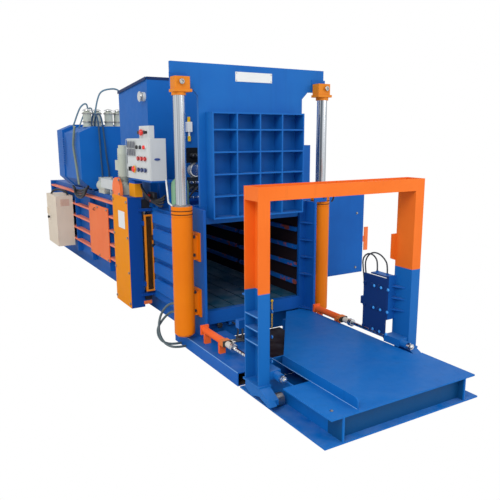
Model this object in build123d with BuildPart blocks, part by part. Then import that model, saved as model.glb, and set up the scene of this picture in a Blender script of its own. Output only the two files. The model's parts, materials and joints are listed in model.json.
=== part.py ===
"""Horizontal recycling baler with a lifting discharge gate and a sliding bale puller.

The ram presses waste towards the discharge end, where a ribbed gate closes the chamber.
Needles cross the chamber on the right, a twister ties the wires on the left, the gate
is lifted by two upright cylinders and a portal frame pulls the tied bale on to the deck.

Millimetres. X runs across the machine to the right as seen from the discharge end,
Y runs back along the machine, Z up. The origin is on the floor, on the centre line,
in the front plane of the gate frame.
"""
import os
from math import pi, radians, tan

from build123d import *

os.makedirs("parts", exist_ok=True)

# Body and press chamber
body_end = 6160
base_height = 200
base_width = 120
base_outer = 520
base_web = 12
cross_pitch = 760
cross_depth = 72
chamber_width = 1090
chamber_height = 865
floor_top = 335
floor_plate = 25
floor_web = 20
floor_web_pairs = 2
groove_width = 14
groove_depth = 8
groove_pitch = 200
rail_depth = 25
rail_height = 44
wall = 20
roof_plate = 40
roof_beam_width = 80
roof_beam_height = 60
roof_beam_count = 3
roof_beam_setback = 60
roof_beam_rear = 180
shelf_plate = 18
shelf_play = 5
shelf_post = 60
shelf_post_places = (120, 420)
seat_count = 3
wire_first = 475
wire_pitch = 190
wire_count = 4
window_width = 90
channel_height = 142
channel_depth = 55
channel_chamfer = 18
flange_bar = 25
flange_depth = 75
stiffener = 20
stiffener_count = 6
bar_rise = 32
end_plate = 40
end_lip = 20

# Places along the machine
chamber_front = 75
post_depth = 300
ribs_end = 1100
bars_start = 1850
needle_y = 1320
hopper_front = 1240
hopper_length = 960

# Gate frame
post_width = 95
post_plate = 25
post_top = 1350
post_flange = 160
gusset = 12
gusset_levels = (210, 580, 765, 945, 1125)
sill_height = 130
port_block_outer = 290
port_block_inner = 165
port_block_front = 20
port_block_bottom = 160
post_play = 1
beam_clearance = 10
beam_width = 154
beam_height = 116
beam_front = 973
beam_plate = 8
low_plate_inner = 340
pan_back = 70

# Gate
gate_width = 1150
gate_head_width = 1678
gate_top = 2653
gate_head_height = 215
gate_bottom = 1190
gate_plate = 35
gate_play = 5
gate_corner = 70
grid_width = 1000
grid_columns = 4
grid_rows = 4
grid_row = 202
grid_top_row = 150
grid_foot = 68
grid_rib = 14
grid_depth = 140

# Lift cylinders and their heads on the gate
lift_x = 788
lift_y = -20
barrel_diameter = 194
barrel_bore = 150
barrel_bottom = 160
barrel_top = 1385
barrel_chamfer = 24
barrel_round = 5
barrel_end_wall = 40
barrel_head = 60
gland_overlap = 10
band_drop = 105
band_height = 14
band_depth = 4
rod_diameter = 104
gland_clearance = 0.3
rod_foot = 1210
bracket_width = 145
bracket_shift = 15
bracket_depth = 110
bracket_height = 130
bracket_drop = 50
bracket_chamfer = 6
bracket_flange = 24
bracket_lip = 11
collar_height = 28
collar_lip = 11
pin_diameter = 30
pin_rise = 84
pin_reach = 16
mount_heights = (465, 1000)
mount_height = 270
mount_depth = 150
mount_plate = 14
arm_depth = 90
arm_foot = 20
arm_head = 30
port_diameter = 44
port_end = 110
port_levels = (330, 420)

# Ram and main cylinder
ram_clearance = 10
ram_front = 2280
ram_length = 1000
ram_block = 420
ram_slot = 60
ram_slot_depth = 320
ram_spine = 360
spine_drop = 100
ram_rear_plate = 60
press_rod = 160
press_bore = 260
press_barrel = 320
press_front = 3700
press_axis = 765
press_head = 120
press_head_lip = 45
press_cap = 60
saddle_setback = 10
saddle_length = 100
piston_gap = 100
piston_length = 120

# Feed hopper
hopper_half = 600
hopper_plate = 12
hopper_top = 2640
hopper_fall = 90
hopper_flange = 20
sensor_setback = 80
sensor_drop = 205
sensor_diameter = 96
sensor_base = 30
sensor_play = 3
sensor_nose_diameter = 44

# Oil tank on the rear roof
tank_front = 3500
tank_length = 950
tank_half = 770
tank_bottom = 1270
tank_height = 890
tank_chamfer_x = 200
tank_chamfer_z = 85
tank_skirt_x = 140
tank_skirt_z = 136
cooler_length = 350
cooler_step = 18
cooler_rise = 45
pump_diameter = 120
pump_height = 215
pump_pitch = 160
pump_count = 4
pump_inset = 20
pump_setback = 350
pump_stagger = 60
pump_flange = 18
pump_flange_lip = 12
pump_cap = 16
pump_cap_diameter = 76
manifold_outer = 530
manifold_inner = 340
manifold_depth = 60
manifold_bottom = 1385
manifold_top = 1440
circulation_x = -540
circulation_rise = 98
circulation_front = 2960
circulation_length = 370
circulation_diameter = 150
circulation_head = 70
circulation_head_diameter = 110
circulation_foot_width = 120
circulation_foot_inset = 50
circulation_foot_drop = 40
terminal_width = 90
terminal_length = 110
terminal_inset = 130
terminal_drop = 15
terminal_height = 45
cover_front = 2660
cover_length = 920
cover_plate = 12
cover_bottom = 345
cover_top = 1075

# Discharge platform
deck_height = 200
deck_plate_thickness = 12
deck_half = 700
deck_front = 2110
deck_gap = 20
web_half = 600
web_plate = 12
front_web_setback = 60
foot_half = 750
foot_inner = 100
foot_depth = 150
foot_gap = 0.3
inner_web_places = (-110, 200)
inner_web = 10
back_gap = 30
rest_inset = 30
fence_x = 445
fence_height = 80
fence_plate = 12
fence_setback = 30
fence_corner = 34
notch_front = 1550
notch_step = 30
notch_x = 450
deck_right = 612
cut_x = 370
cut_y = 1180

# Bale puller: portal of channel section, slid by two cylinders
portal_inner = 720
portal_width = 98
portal_depth = 200
portal_front = 1400
portal_top = 1655
portal_bar = 100
portal_web = 10
leg_bottom = 180
leg_foot_plate = 15
foot_side_lip = 6
foot_front_lip = 15
foot_back_lip = 20
claw_inner = 758
claw_outer = 814
claw_sole = 67
claw_heel_reach = 84
claw_heel_rise = 37
claw_arch_rise = 34
claw_toe_reach = 120
claw_toe_rise = 10
claw_brow_reach = 90
claw_brow_rise = 43
ankle_inner = 724
ankle_back = 130
ankle_drop = 40
ankle_sole_reach = 40
ankle_sole_drop = 30
striker_bottom = 951
striker_top = 1168
striker_slope = 34
striker_inner = 667
striker_outer = 762
striker_plate = 10
puller_x = 655
puller_z = 232
puller_barrel = 64
puller_bore = 46
puller_rod = 32
puller_rear = 180
puller_head = 560
puller_gland = 720
puller_port_places = (600, 560)
puller_port = 28
puller_port_face = 600
puller_head_half_width = 38
puller_head_half_height = 26
puller_head_overlap = 20
puller_gland_step = 10
puller_seat_half = 30
puller_seat_length = 30
puller_foot_half = 40
puller_foot_rise = 45
puller_wall = 10
lug_height = 64
lug_rise = 6
lug_reach = 42
lug_inset = 10
boss_length = 60
boss_lip = 17
nut_lip = 11
nut_length = 26
wheel_diameter = 100
wheel_width = 70
wheel_x = 675
wheel_reach = 40
axle_diameter = 30
axle_reach = 15
bale_plate_x = 617
bale_plate_thickness = 14
bale_plate_length = 290
bale_plate_bottom = 262
bale_plate_top = 775
bale_plate_gap = 10
bale_bracket_plate = 12
bale_bracket_bottom = 400
bale_bracket_rise = 25
bale_bolt = 34
bale_bolt_head = 12
bale_bolt_edge = 17
bale_bolt_setback = 93
bale_bolt_pitch_y = 87
bale_bolt_pitch_z = 203
bale_bolt_rows = 3
bale_bolt_columns = 3
bale_gusset_inset = 50
bale_gusset_depth = 118
bale_gussets = (490, 595, 700)
shelf_rise = 17
shelf_depth = 215
port_base_outer = 712
port_base_front = 925
port_base_depth = 55
port_base_bottom = 470
port_base_top = 540
shelf_port_x = 680
shelf_port_places = (1024, 1151)
shelf_port_top = 805
shelf_port_diameter = 22

# Needle unit on the right
needle_box_front = 1000
needle_box_depth = 560
needle_box_end = 2320
needle_box_bottom = 185
needle_box_top = 1250
needle_box_plate = 10
needle_bar = 30
needle_blade = 60
needle_tip = 760
needle_root = 2050
carriage_width = 120
tower_width = 480
tower_height = 650
tower_inner = 960
tower_front_inset = 40
tower_back_inset = 60
housing_play = 1
housing_lug_depth = 299
housing_foot_height = 60
housing_head_drop = 12
housing_head_height = 28
carriage_depth = 140
carriage_top_play = 20
needle_point = 90

# Tie unit on the left
tie_inner = 705
tie_width = 160
tie_front = 1270
tie_depth = 530
tie_bottom = 90
tie_top = 1355
tie_bracket = 30
tie_bracket_levels = (1195, 225)
tie_bracket_reach = 40
tie_bracket_back = 130
twister_x = 655
twister_bottom = 190
twister_top = 1290
twister_shaft_diameter = 40
twister_disc = 88
twister_disc_width = 14
twister_hook = 18
twister_hook_count = 3
bearing_width = 86
bearing_depth = 90
bearing_height = 90
footstep_width = 80
footstep_depth = 84
footstep_height = 58
guard_outer = 700
guard_inner = 602
guard_bottom = 285
guard_top = 1160
guard_y = 1215
guard_frame = 20
guard_sheet = 2
guard_thickness = 20
guard_pin = 14
guard_hinge_height = 50
guard_hinge_foot = 60
guard_hinge_head = 120
hinge_inset = 2
guard_catch_bottom = 880
guard_catch_top = 925
guard_catch_width = 14
guard_catch_inset = 2
tie_motor_x = -765
tie_motor_y = 1640
tie_motor_diameter = 124
tie_motor_height = 320
tie_motor_cap = 35
tie_motor_cap_step = 22
gearbox_width = 110
gearbox_front = 70
gearbox_back = 90
gearbox_height = 110
gearbox_neck = 95
gearbox_neck_diameter = 96
motor_box_width = 75
motor_box_depth = 110
motor_box_height = 115
motor_box_inset = 45
motor_box_setback = 55
motor_box_rise = 70
chain_front = 1500
chain_length = 280
chain_base = 60
chain_depth = 34
feeder_outer = 775
feeder_inset = 15
feeder_length = 190
feeder_height = 178
feeder_cap_x = -730
feeder_cap_setback = 105
feeder_cap_diameter = 78
feeder_cap_height = 72
junction_outer = 690
junction_width = 130
junction_front = 2330
junction_length = 510
junction_bottom = 1350
junction_height = 120
junction_foot_setbacks = (50, 420)
junction_foot_width = 20
junction_foot_depth = 40
junction_foot_inset = 5

# Control box, cabinet and small equipment
control_outer = 795
control_inner = 655
control_front = 630
control_length = 695
control_bottom = 1572
control_height = 418
control_door = 24
control_door_round = 4
box_wall = 14
alarm_setback = 90
alarm_height = 125
alarm_length = 275
alarm_depth = 57
alarm_stop_setback = 165
alarm_stop_rise = 60
button_pitch_y = 100
button_pitch_z = 115
button_diameter = 44
button_stem = 24
button_reach = 22
button_stroke = 6
button_gap = 2
button_round = 4
button_columns_setback = 130
button_count = 3
lamp_rise = 330
lamp_diameter = 40
lamp_reach = 16
hole_play = 2
stem_play = 4
switch_setback = 575
stop_setback = 450
legend_reach = 3
legend_front = 40
legend_back = 40
legend_drop = 90
legend_head = 30
switch_base_diameter = 50
switch_base_reach = 12
switch_play = 1
grip_reach = 34
grip_width = 14
grip_height = 44
stop_stem_depth = 18
stop_neck = 14
stop_head_radius = 31
stop_rim_radius = 33
stop_rim = 24
stop_crown_radius = 26
stop_crown = 36
stop_tip = 40
cabinet_front = 4580
cabinet_length = 700
cabinet_depth = 240
cabinet_bottom = 280
cabinet_height = 810
cabinet_door_plate = 22
cabinet_door_round = 6
lock_reach = 18
lock_width = 35
lock_height = 110
lock_setback = 95
lock_rise = 470
door_gap = 0.3
knuckle_diameter = 14
knuckle_height = 60
knuckle_foot = 90
knuckle_head = 150

# Valve group on the roof and the small valve on the hopper's front face
valve_left = -240
valve_right = -40
valve_front = 1010
valve_depth = 170
valve_base_height = 120
valve_block_inset = 20
valve_block_height = 140
gauge_x = -143
gauge_z = 1640
gauge_diameter = 140
gauge_depth = 70
gauge_setback = 20
solenoid_bottom = 1722
solenoid_height = 165
solenoid_depth = 100
solenoid_left = -225
solenoid_right = -60
solenoid_setback = 40
riser_diameter = 60
pilot_x = -127
pilot_bottom = 2060
pilot_height = 110
pilot_width = 60
pilot_depth = 50
pilot_pipe = 24
pilot_pipe_bottom = 1970
pilot_pipe_top = 2215

# Hoses
bend_share = 0.45
hose_large = 23
hose_medium = 18
hose_small = 14
hose_tank = 24

# Sizes that follow from the driving ones
wall_inner = chamber_width / 2 + rail_depth
wall_outer = wall_inner + wall
roof_bottom = floor_top + chamber_height
roof_top = roof_bottom + roof_plate
wire_levels = [wire_first + k * wire_pitch for k in range(wire_count)]
channel_levels = [wire_first + (k - 0.5) * wire_pitch for k in range(wire_count + 1)]
bar_levels = [middle + bar_rise - flange_bar for middle in channel_levels]
gate_front = post_plate + gate_play
gate_back = gate_front + gate_plate
hopper_back = hopper_front + hopper_length
post_outer = chamber_width / 2 + post_width
sill_top = floor_top + 2
grid_bottom = gate_bottom + grid_foot
grid_top = grid_bottom + grid_rows * grid_row + grid_top_row
portal_outer = portal_inner + portal_width
portal_back = portal_front - portal_depth
guard_half_depth = guard_thickness / 2
tie_outer = tie_inner + tie_width
bars_outer = wall_outer + flange_depth
door_outer = control_outer + door_gap + control_door
control_back = control_front + control_length
control_top = control_bottom + control_height
cabinet_outer = bars_outer + cabinet_depth
cabinet_back = cabinet_front + cabinet_length
cabinet_top = cabinet_bottom + cabinet_height
cabinet_door_outer = cabinet_outer + door_gap + cabinet_door_plate


def section(y):
    """Plane across the machine: local x is X, local y is Z, normal towards the front."""
    return Plane.XZ.offset(-y)


def side(x):
    """Plane along the machine: local x is Y, local y is Z, normal to the right."""
    return Plane.YZ.offset(x)


def level(z):
    """Horizontal plane at a height."""
    return Plane.XY.offset(z)


def area(x0, y0, x1, y1, mode=Mode.ADD):
    """Rectangle between two corners of the sketch plane."""
    with Locations(((x0 + x1) / 2, (y0 + y1) / 2)):
        Rectangle(abs(x1 - x0), abs(y1 - y0), mode=mode)


def block(x0, x1, y0, y1, z0, z1, mode=Mode.ADD):
    """Plate or bar between two heights."""
    with BuildSketch(level(z0)) as outline:
        area(x0, y0, x1, y1)
    extrude(outline.sketch, amount=z1 - z0, mode=mode)


def upright(x, y, z0, z1, diameter, mode=Mode.ADD):
    """Round bar that stands between two heights."""
    with BuildSketch(level(z0)) as outline:
        with Locations((x, y)):
            Circle(diameter / 2)
    extrude(outline.sketch, amount=z1 - z0, mode=mode)


def lengthwise(x, z, y0, y1, diameter, mode=Mode.ADD):
    """Round bar along the machine."""
    with BuildSketch(section(y0)) as outline:
        with Locations((x, z)):
            Circle(diameter / 2)
    extrude(outline.sketch, amount=y0 - y1, mode=mode)


def crosswise(y, z, x0, x1, diameter, mode=Mode.ADD):
    """Round bar across the machine."""
    with BuildSketch(side(x0)) as outline:
        with Locations((y, z)):
            Circle(diameter / 2)
    extrude(outline.sketch, amount=x1 - x0, mode=mode)


def save(name, builder):
    """Label a finished piece and write it."""
    builder.part.label = name
    export_step(builder.part, f"parts/{name}.step")


def mirrored(builder):
    """The same piece on the other side of the machine."""
    with BuildPart() as other:
        mirror(builder.part, about=Plane.YZ)
    return other


# Base frame: two channels with their backs outwards, joined by cross members
with BuildPart() as base_frame:
    rail_inner = base_outer - base_width
    with BuildSketch(section(chamber_front)):
        area(base_outer - base_web, 0, base_outer, base_height)
        for flange_z in (0, base_height - base_web):
            area(rail_inner, flange_z, base_outer, flange_z + base_web)
    extrude(amount=chamber_front - body_end)
    mirror(about=Plane.YZ)
    cross_count = int((body_end - chamber_front) / cross_pitch)
    for k in range(cross_count + 1):
        cross_y = chamber_front + k * cross_pitch
        block(base_web - base_outer, base_outer - base_web, cross_y, cross_y + cross_depth,
              base_web, base_height - base_web)
save("base_frame", base_frame)

# Chamber floor: a grooved plate on lengthwise webs
floor_end = body_end - end_plate
with BuildPart() as chamber_floor:
    with BuildSketch(section(chamber_front)):
        area(-wall_inner, floor_top - floor_plate, wall_inner, floor_top)
        for k in range(-floor_web_pairs, floor_web_pairs + 1):
            web_x = k * (rail_inner - floor_web) / floor_web_pairs
            area(web_x - floor_web / 2, base_height, web_x + floor_web / 2, floor_top - floor_plate)
            groove_x = k * groove_pitch
            area(groove_x - groove_width / 2, floor_top - groove_depth, groove_x + groove_width / 2,
                 floor_top, mode=Mode.SUBTRACT)
        for edge in (-1, 1):
            area(edge * (wall_inner - floor_web), base_height, edge * wall_inner,
                 floor_top - floor_plate)
            area(edge * rail_inner, base_height, edge * wall_inner, base_height + base_web)
    extrude(amount=chamber_front - floor_end)
save("chamber_floor", chamber_floor)

# Side wall, right: plate, inner wire rails, outer pressed channels and flange bars
with BuildPart() as chamber_wall_right:
    with BuildSketch(section(chamber_front)):
        area(wall_inner, base_height, wall_outer, roof_top)
    extrude(amount=chamber_front - floor_end)
    with BuildSketch(section(chamber_front)):
        for wire_z in wire_levels:
            area(wall_inner - rail_depth, wire_z - rail_height / 2, wall_inner,
                 wire_z + rail_height / 2)
    extrude(amount=chamber_front - hopper_back)
    with BuildSketch(section(post_depth)):
        for channel_z in channel_levels:
            half = channel_height / 2
            with BuildLine():
                Polyline(
                    (wall_outer, channel_z - half),
                    (wall_outer + channel_depth - channel_chamfer, channel_z - half),
                    (wall_outer + channel_depth, channel_z - half + channel_chamfer),
                    (wall_outer + channel_depth, channel_z + half - channel_chamfer),
                    (wall_outer + channel_depth - channel_chamfer, channel_z + half),
                    (wall_outer, channel_z + half),
                    close=True,
                )
            make_face()
    extrude(amount=post_depth - ribs_end)
    with BuildSketch(section(bars_start)):
        for bar_z in bar_levels:
            area(wall_outer, bar_z, bars_outer, bar_z + flange_bar)
    extrude(amount=bars_start - floor_end)
    bar_foot = base_height + base_web
    stiffener_run = floor_end - stiffener - bars_start
    for k in range(stiffener_count):
        stiffener_y = bars_start + k * stiffener_run / (stiffener_count - 1)
        block(wall_outer, bars_outer, stiffener_y, stiffener_y + stiffener, bar_foot,
              bar_levels[-1] + flange_bar)
    for wire_z in wire_levels:
        block(wall_inner - rail_depth, wall_outer, needle_y - window_width / 2,
              needle_y + window_width / 2, wire_z - rail_height / 2, wire_z + rail_height / 2,
              mode=Mode.SUBTRACT)
save("chamber_wall_right", chamber_wall_right)
chamber_wall_left = mirrored(chamber_wall_right)
save("chamber_wall_left", chamber_wall_left)

# Roof over the pressed bale, with cross beams and the shelf of the control box
with BuildPart() as chamber_roof:
    block(-wall_inner, wall_inner, chamber_front, hopper_front, roof_bottom, roof_top)
    beam_run = hopper_front - roof_beam_rear - chamber_front - roof_beam_setback
    for k in range(roof_beam_count):
        beam_y = chamber_front + roof_beam_setback + k * beam_run / (roof_beam_count - 1)
        block(-wall_outer, wall_outer, beam_y, beam_y + roof_beam_width, roof_top,
              roof_top + roof_beam_height)
    shelf_bottom = control_bottom - shelf_plate
    block(-door_outer, wall - wall_inner, control_front, hopper_front - shelf_play,
          shelf_bottom, control_bottom)
    for post_place in shelf_post_places:
        post_y = control_front + post_place
        block(-wall_inner, wall - wall_inner, post_y, post_y + shelf_post, roof_top, shelf_bottom)
save("chamber_roof", chamber_roof)

# Roof over the ram with the oil tank's seats, and the end plate that carries the cylinder
tank_back = tank_front + tank_length + cooler_length
with BuildPart() as rear_roof:
    block(-wall_inner, wall_inner, hopper_back, floor_end, roof_bottom, roof_top)
    seat_run = tank_back - tank_front - 2 * roof_beam_setback - roof_beam_width
    for k in range(seat_count):
        seat_y = tank_front + roof_beam_setback + k * seat_run / (seat_count - 1)
        block(-wall_outer, wall_outer, seat_y, seat_y + roof_beam_width, roof_top, tank_bottom)
    with BuildSketch(section(floor_end)) as end_outline:
        area(-bars_outer, base_height, bars_outer, roof_top)
        with Locations((0, press_axis)):
            Circle(press_bore / 2 - end_lip, mode=Mode.SUBTRACT)
    extrude(end_outline.sketch, amount=-end_plate)
save("rear_roof", rear_roof)

# Gate frame: sill, front strips that trap the gate, stiffening flanges and gussets
with BuildPart() as gate_frame:
    half_opening = chamber_width / 2
    block(-half_opening, half_opening, 0, gate_back, sill_top - sill_height, sill_top)
    block(-port_block_outer, -port_block_inner, port_block_front, gate_back, port_block_bottom,
          sill_top - sill_height)
    with BuildSketch(level(beam_height)):
        for edge in (-1, 1):
            area(edge * half_opening, 0, edge * post_outer, post_plate)
            area(edge * (post_outer - post_plate), -post_flange, edge * post_outer, post_depth)
            area(edge * wall_outer, gate_back + post_play, edge * post_outer, post_depth)
    extrude(amount=post_top - beam_height)
    for gusset_z in gusset_levels:
        with BuildSketch(level(gusset_z)):
            for edge in (-1, 1):
                with BuildLine():
                    Polyline(
                        (edge * half_opening, 0),
                        (edge * (post_outer - post_plate), 0),
                        (edge * (post_outer - post_plate), -post_flange + gusset),
                        close=True,
                    )
                make_face()
        extrude(amount=gusset)
save("gate_frame", gate_frame)

# Side beams under the gate posts: hollow sections, open at their front ends, with low plates
# and the floor pan that joins them under the gate
beam_inner = wall_outer + beam_clearance
with BuildPart() as side_beams:
    with BuildSketch(section(-beam_front)):
        area(beam_inner, 0, beam_inner + beam_width, beam_height)
        area(beam_inner + beam_plate, beam_plate, beam_inner + beam_width - beam_plate,
             beam_height - beam_plate, mode=Mode.SUBTRACT)
    extrude(amount=-beam_front - post_depth)
    with BuildSketch(section(-beam_front)):
        area(low_plate_inner, beam_height - beam_plate, beam_inner, beam_height)
        area(low_plate_inner, 0, low_plate_inner + beam_plate, beam_height)
    extrude(amount=-beam_front)
    mirror(about=Plane.YZ)
    block(-low_plate_inner - beam_plate, low_plate_inner + beam_plate, -beam_front, pan_back, 0,
          beam_plate)
save("side_beams", side_beams)

# Gate: head plate, door plate with cut corners and the grid of ribs on its face
with BuildPart() as gate:
    head_z = gate_top - gate_head_height
    with BuildSketch(section(gate_front)):
        with BuildLine():
            Polyline(
                (0, gate_bottom),
                (gate_width / 2, gate_bottom),
                (gate_width / 2, head_z - gate_corner),
                (gate_width / 2 + gate_corner, head_z),
                (gate_head_width / 2, head_z),
                (gate_head_width / 2, gate_top),
                (0, gate_top),
                close=True,
            )
        make_face()
        mirror(about=Plane.YZ)
    extrude(amount=-gate_plate)
    with BuildSketch(section(gate_front)):
        for k in range(grid_columns + 1):
            rib_x = -grid_width / 2 + k * grid_width / grid_columns
            area(rib_x - grid_rib / 2, grid_bottom, rib_x + grid_rib / 2, grid_top)
        row_levels = [grid_bottom + k * grid_row for k in range(grid_rows + 1)] + [grid_top]
        for row_z in row_levels:
            area(-grid_width / 2 - grid_rib / 2, row_z - grid_rib / 2,
                 grid_width / 2 + grid_rib / 2, row_z + grid_rib / 2)
    extrude(amount=grid_depth)
save("gate", gate)

# Lift cylinders: barrel with a groove under its head, ports and two mounts to the post
with BuildPart() as lift_cylinders:
    upright(lift_x, lift_y, barrel_bottom, barrel_top, barrel_diameter)
    chamfer(lift_cylinders.edges().group_by(Axis.Z)[0], barrel_chamfer)
    fillet(lift_cylinders.edges().group_by(Axis.Z)[-1], barrel_round)
    with BuildSketch(level(barrel_top - band_drop)):
        with Locations((lift_x, lift_y)):
            Circle(barrel_diameter / 2)
            Circle(barrel_diameter / 2 - band_depth, mode=Mode.SUBTRACT)
    extrude(amount=band_height, mode=Mode.SUBTRACT)
    for mount_z in mount_heights:
        mount_z0 = mount_z - mount_height / 2
        mount_z1 = mount_z + mount_height / 2
        block(post_outer, post_outer + mount_plate, lift_y - mount_depth / 2,
              lift_y + mount_depth / 2, mount_z0, mount_z1)
        block(post_outer, lift_x, lift_y - arm_depth / 2, lift_y + arm_depth / 2,
              mount_z0 + arm_foot, mount_z1 - arm_head)
    for port_z in port_levels:
        lengthwise(lift_x, port_z, lift_y, port_end, port_diameter)
    upright(lift_x, lift_y, barrel_bottom + barrel_end_wall, barrel_top - barrel_head,
            barrel_bore, mode=Mode.SUBTRACT)
    upright(lift_x, lift_y, barrel_top - barrel_head - gland_overlap, barrel_top + gland_overlap,
            rod_diameter + 2 * gland_clearance, mode=Mode.SUBTRACT)
    mirror(about=Plane.YZ)
save("lift_cylinders", lift_cylinders)

# Lift rods
bracket_z = gate_top - gate_head_height - bracket_drop
with BuildPart() as lift_rods:
    upright(lift_x, lift_y, rod_foot, bracket_z - collar_height, rod_diameter)
    mirror(about=Plane.YZ)
save("lift_rods", lift_rods)

# Brackets that join the rods to the gate head: block, flange, collar and cross pin
with BuildPart() as gate_brackets:
    bracket_front = gate_front - bracket_depth
    bracket_x = lift_x - bracket_shift
    half_bracket = bracket_width / 2
    block(bracket_x - half_bracket, bracket_x + half_bracket, bracket_front, gate_front,
          bracket_z, bracket_z + bracket_height)
    chamfer(gate_brackets.edges().filter_by(Axis.Z), bracket_chamfer)
    block(bracket_x - half_bracket - bracket_lip, bracket_x + half_bracket + bracket_lip,
          bracket_front - bracket_lip, gate_front, bracket_z, bracket_z + bracket_flange)
    upright(lift_x, lift_y, bracket_z - collar_height, bracket_z, rod_diameter + 2 * collar_lip)
    lengthwise(lift_x, bracket_z + pin_rise, bracket_front - pin_reach, bracket_front,
               pin_diameter)
    mirror(about=Plane.YZ)
save("gate_brackets", gate_brackets)

# Ram: slotted pressing block, spine and rear plate
with BuildPart() as ram_head:
    ram_half = chamber_width / 2 - ram_clearance
    ram_bottom = floor_top + ram_clearance
    ram_top = roof_bottom - ram_clearance
    block(-ram_half, ram_half, ram_front, ram_front + ram_block, ram_bottom, ram_top)
    block(-ram_spine / 2, ram_spine / 2, ram_front + ram_block, ram_front + ram_length,
          ram_bottom, ram_top - spine_drop)
    block(-ram_half, ram_half, ram_front + ram_length - ram_rear_plate, ram_front + ram_length,
          ram_bottom, ram_top)
    for wire_z in wire_levels:
        block(-ram_half, ram_half, ram_front, ram_front + ram_slot_depth,
              wire_z - ram_slot / 2, wire_z + ram_slot / 2, mode=Mode.SUBTRACT)
save("ram_head", ram_head)

# Main cylinder: barrel with front head, saddle on the chamber floor and rear cap
press_back = floor_end
with BuildPart() as press_cylinder:
    saddle_front = press_front + saddle_setback
    block(-press_barrel / 2, press_barrel / 2, saddle_front, saddle_front + saddle_length,
          floor_top, press_axis)
    lengthwise(0, press_axis, press_front, press_back, press_barrel)
    lengthwise(0, press_axis, press_front, press_front + press_head,
               press_barrel + 2 * press_head_lip)
    lengthwise(0, press_axis, press_front + press_head - gland_overlap, press_back - press_cap,
               press_bore, mode=Mode.SUBTRACT)
    lengthwise(0, press_axis, press_front - gland_overlap, press_front + press_head,
               press_rod + 2 * gland_clearance, mode=Mode.SUBTRACT)
save("press_cylinder", press_cylinder)

# Main rod with its piston
with BuildPart() as press_rod_piece:
    rod_end = press_back - press_cap - piston_gap
    lengthwise(0, press_axis, ram_front + ram_length, rod_end, press_rod)
    lengthwise(0, press_axis, rod_end - piston_length, rod_end, press_bore - 2 * gland_clearance)
save("press_rod", press_rod_piece)

# Feed hopper: four plates, higher at the front, on a flange
with BuildPart() as feed_hopper:
    with BuildSketch(side(-hopper_half)):
        with BuildLine():
            Polyline(
                (hopper_front, roof_top),
                (hopper_back, roof_top),
                (hopper_back, hopper_top - hopper_fall),
                (hopper_front, hopper_top),
                close=True,
            )
        make_face()
    extrude(amount=2 * hopper_half)
    block(-hopper_half - hopper_flange / 2, hopper_half + hopper_flange / 2, hopper_front,
          hopper_back, roof_top, roof_top + hopper_plate)
    block(-hopper_half + hopper_plate, hopper_half - hopper_plate, hopper_front + hopper_plate,
          hopper_back - hopper_plate, roof_top, hopper_top, mode=Mode.SUBTRACT)
save("feed_hopper", feed_hopper)

# Round sensor boss on the hopper's left face
sensor_y = hopper_front + sensor_setback
sensor_z = hopper_top - sensor_drop
with BuildPart() as hopper_sensor:
    crosswise(sensor_y, sensor_z, -hopper_half - sensor_base, -hopper_half, sensor_diameter)
    crosswise(sensor_y, sensor_z, sensor_play - control_inner, -hopper_half - sensor_base,
              sensor_nose_diameter)
save("hopper_sensor", hopper_sensor)


def tank_outline(half, bottom, height):
    """Tank section: a rectangle whose four long edges are bent inwards."""
    with BuildLine() as outline:
        Polyline(
            (half, bottom + tank_skirt_z),
            (half, bottom + height - tank_chamfer_z),
            (half - tank_chamfer_x, bottom + height),
            (tank_chamfer_x - half, bottom + height),
            (-half, bottom + height - tank_chamfer_z),
            (-half, bottom + tank_skirt_z),
            (tank_skirt_x - half, bottom),
            (half - tank_skirt_x, bottom),
            close=True,
        )
    make_face(outline.line)


# Oil tank with the wider and taller cooler section behind it
with BuildPart() as oil_tank:
    with BuildSketch(section(tank_front)):
        tank_outline(tank_half, tank_bottom, tank_height)
    extrude(amount=-tank_length)
    with BuildSketch(section(tank_front + tank_length)):
        tank_outline(tank_half + cooler_step, tank_bottom, tank_height + cooler_rise)
    extrude(amount=-cooler_length)
save("oil_tank", oil_tank)

# Pumps that stand on the tank, and the circulation pump on the roof in front of it
tank_top = tank_bottom + tank_height
circulation_z = roof_top + circulation_rise
circulation_back = circulation_front + circulation_length
with BuildPart() as pump_units:
    for k in range(pump_count):
        pump_x = -tank_half + tank_chamfer_x + pump_inset + k * pump_pitch
        pump_y = tank_front + pump_setback + (k % 2) * pump_stagger
        upright(pump_x, pump_y, tank_top, tank_top + pump_flange,
                pump_diameter + 2 * pump_flange_lip)
        upright(pump_x, pump_y, tank_top + pump_flange, tank_top + pump_height, pump_diameter)
        upright(pump_x, pump_y, tank_top + pump_height, tank_top + pump_height + pump_cap,
                pump_cap_diameter)
    block(-manifold_outer, -manifold_inner, tank_front - manifold_depth, tank_front,
          manifold_bottom, manifold_top)
    lengthwise(circulation_x, circulation_z, circulation_front, circulation_back,
               circulation_diameter)
    lengthwise(circulation_x, circulation_z, circulation_back,
               circulation_back + circulation_head, circulation_head_diameter)
    block(circulation_x - circulation_foot_width / 2, circulation_x + circulation_foot_width / 2,
          circulation_front + circulation_foot_inset, circulation_back - circulation_foot_inset,
          roof_top, circulation_z - circulation_foot_drop)
    terminal_y = circulation_front + terminal_inset
    terminal_z = circulation_z + circulation_diameter / 2 - terminal_drop
    block(circulation_x - terminal_width / 2, circulation_x + terminal_width / 2, terminal_y,
          terminal_y + terminal_length, terminal_z, terminal_z + terminal_height)
save("pump_units", pump_units)

# Orange cover plate over the side bars, left
with BuildPart() as side_cover:
    block(-bars_outer - cover_plate, -bars_outer, cover_front, cover_front + cover_length,
          cover_bottom, cover_top)
save("side_cover", side_cover)

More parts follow.
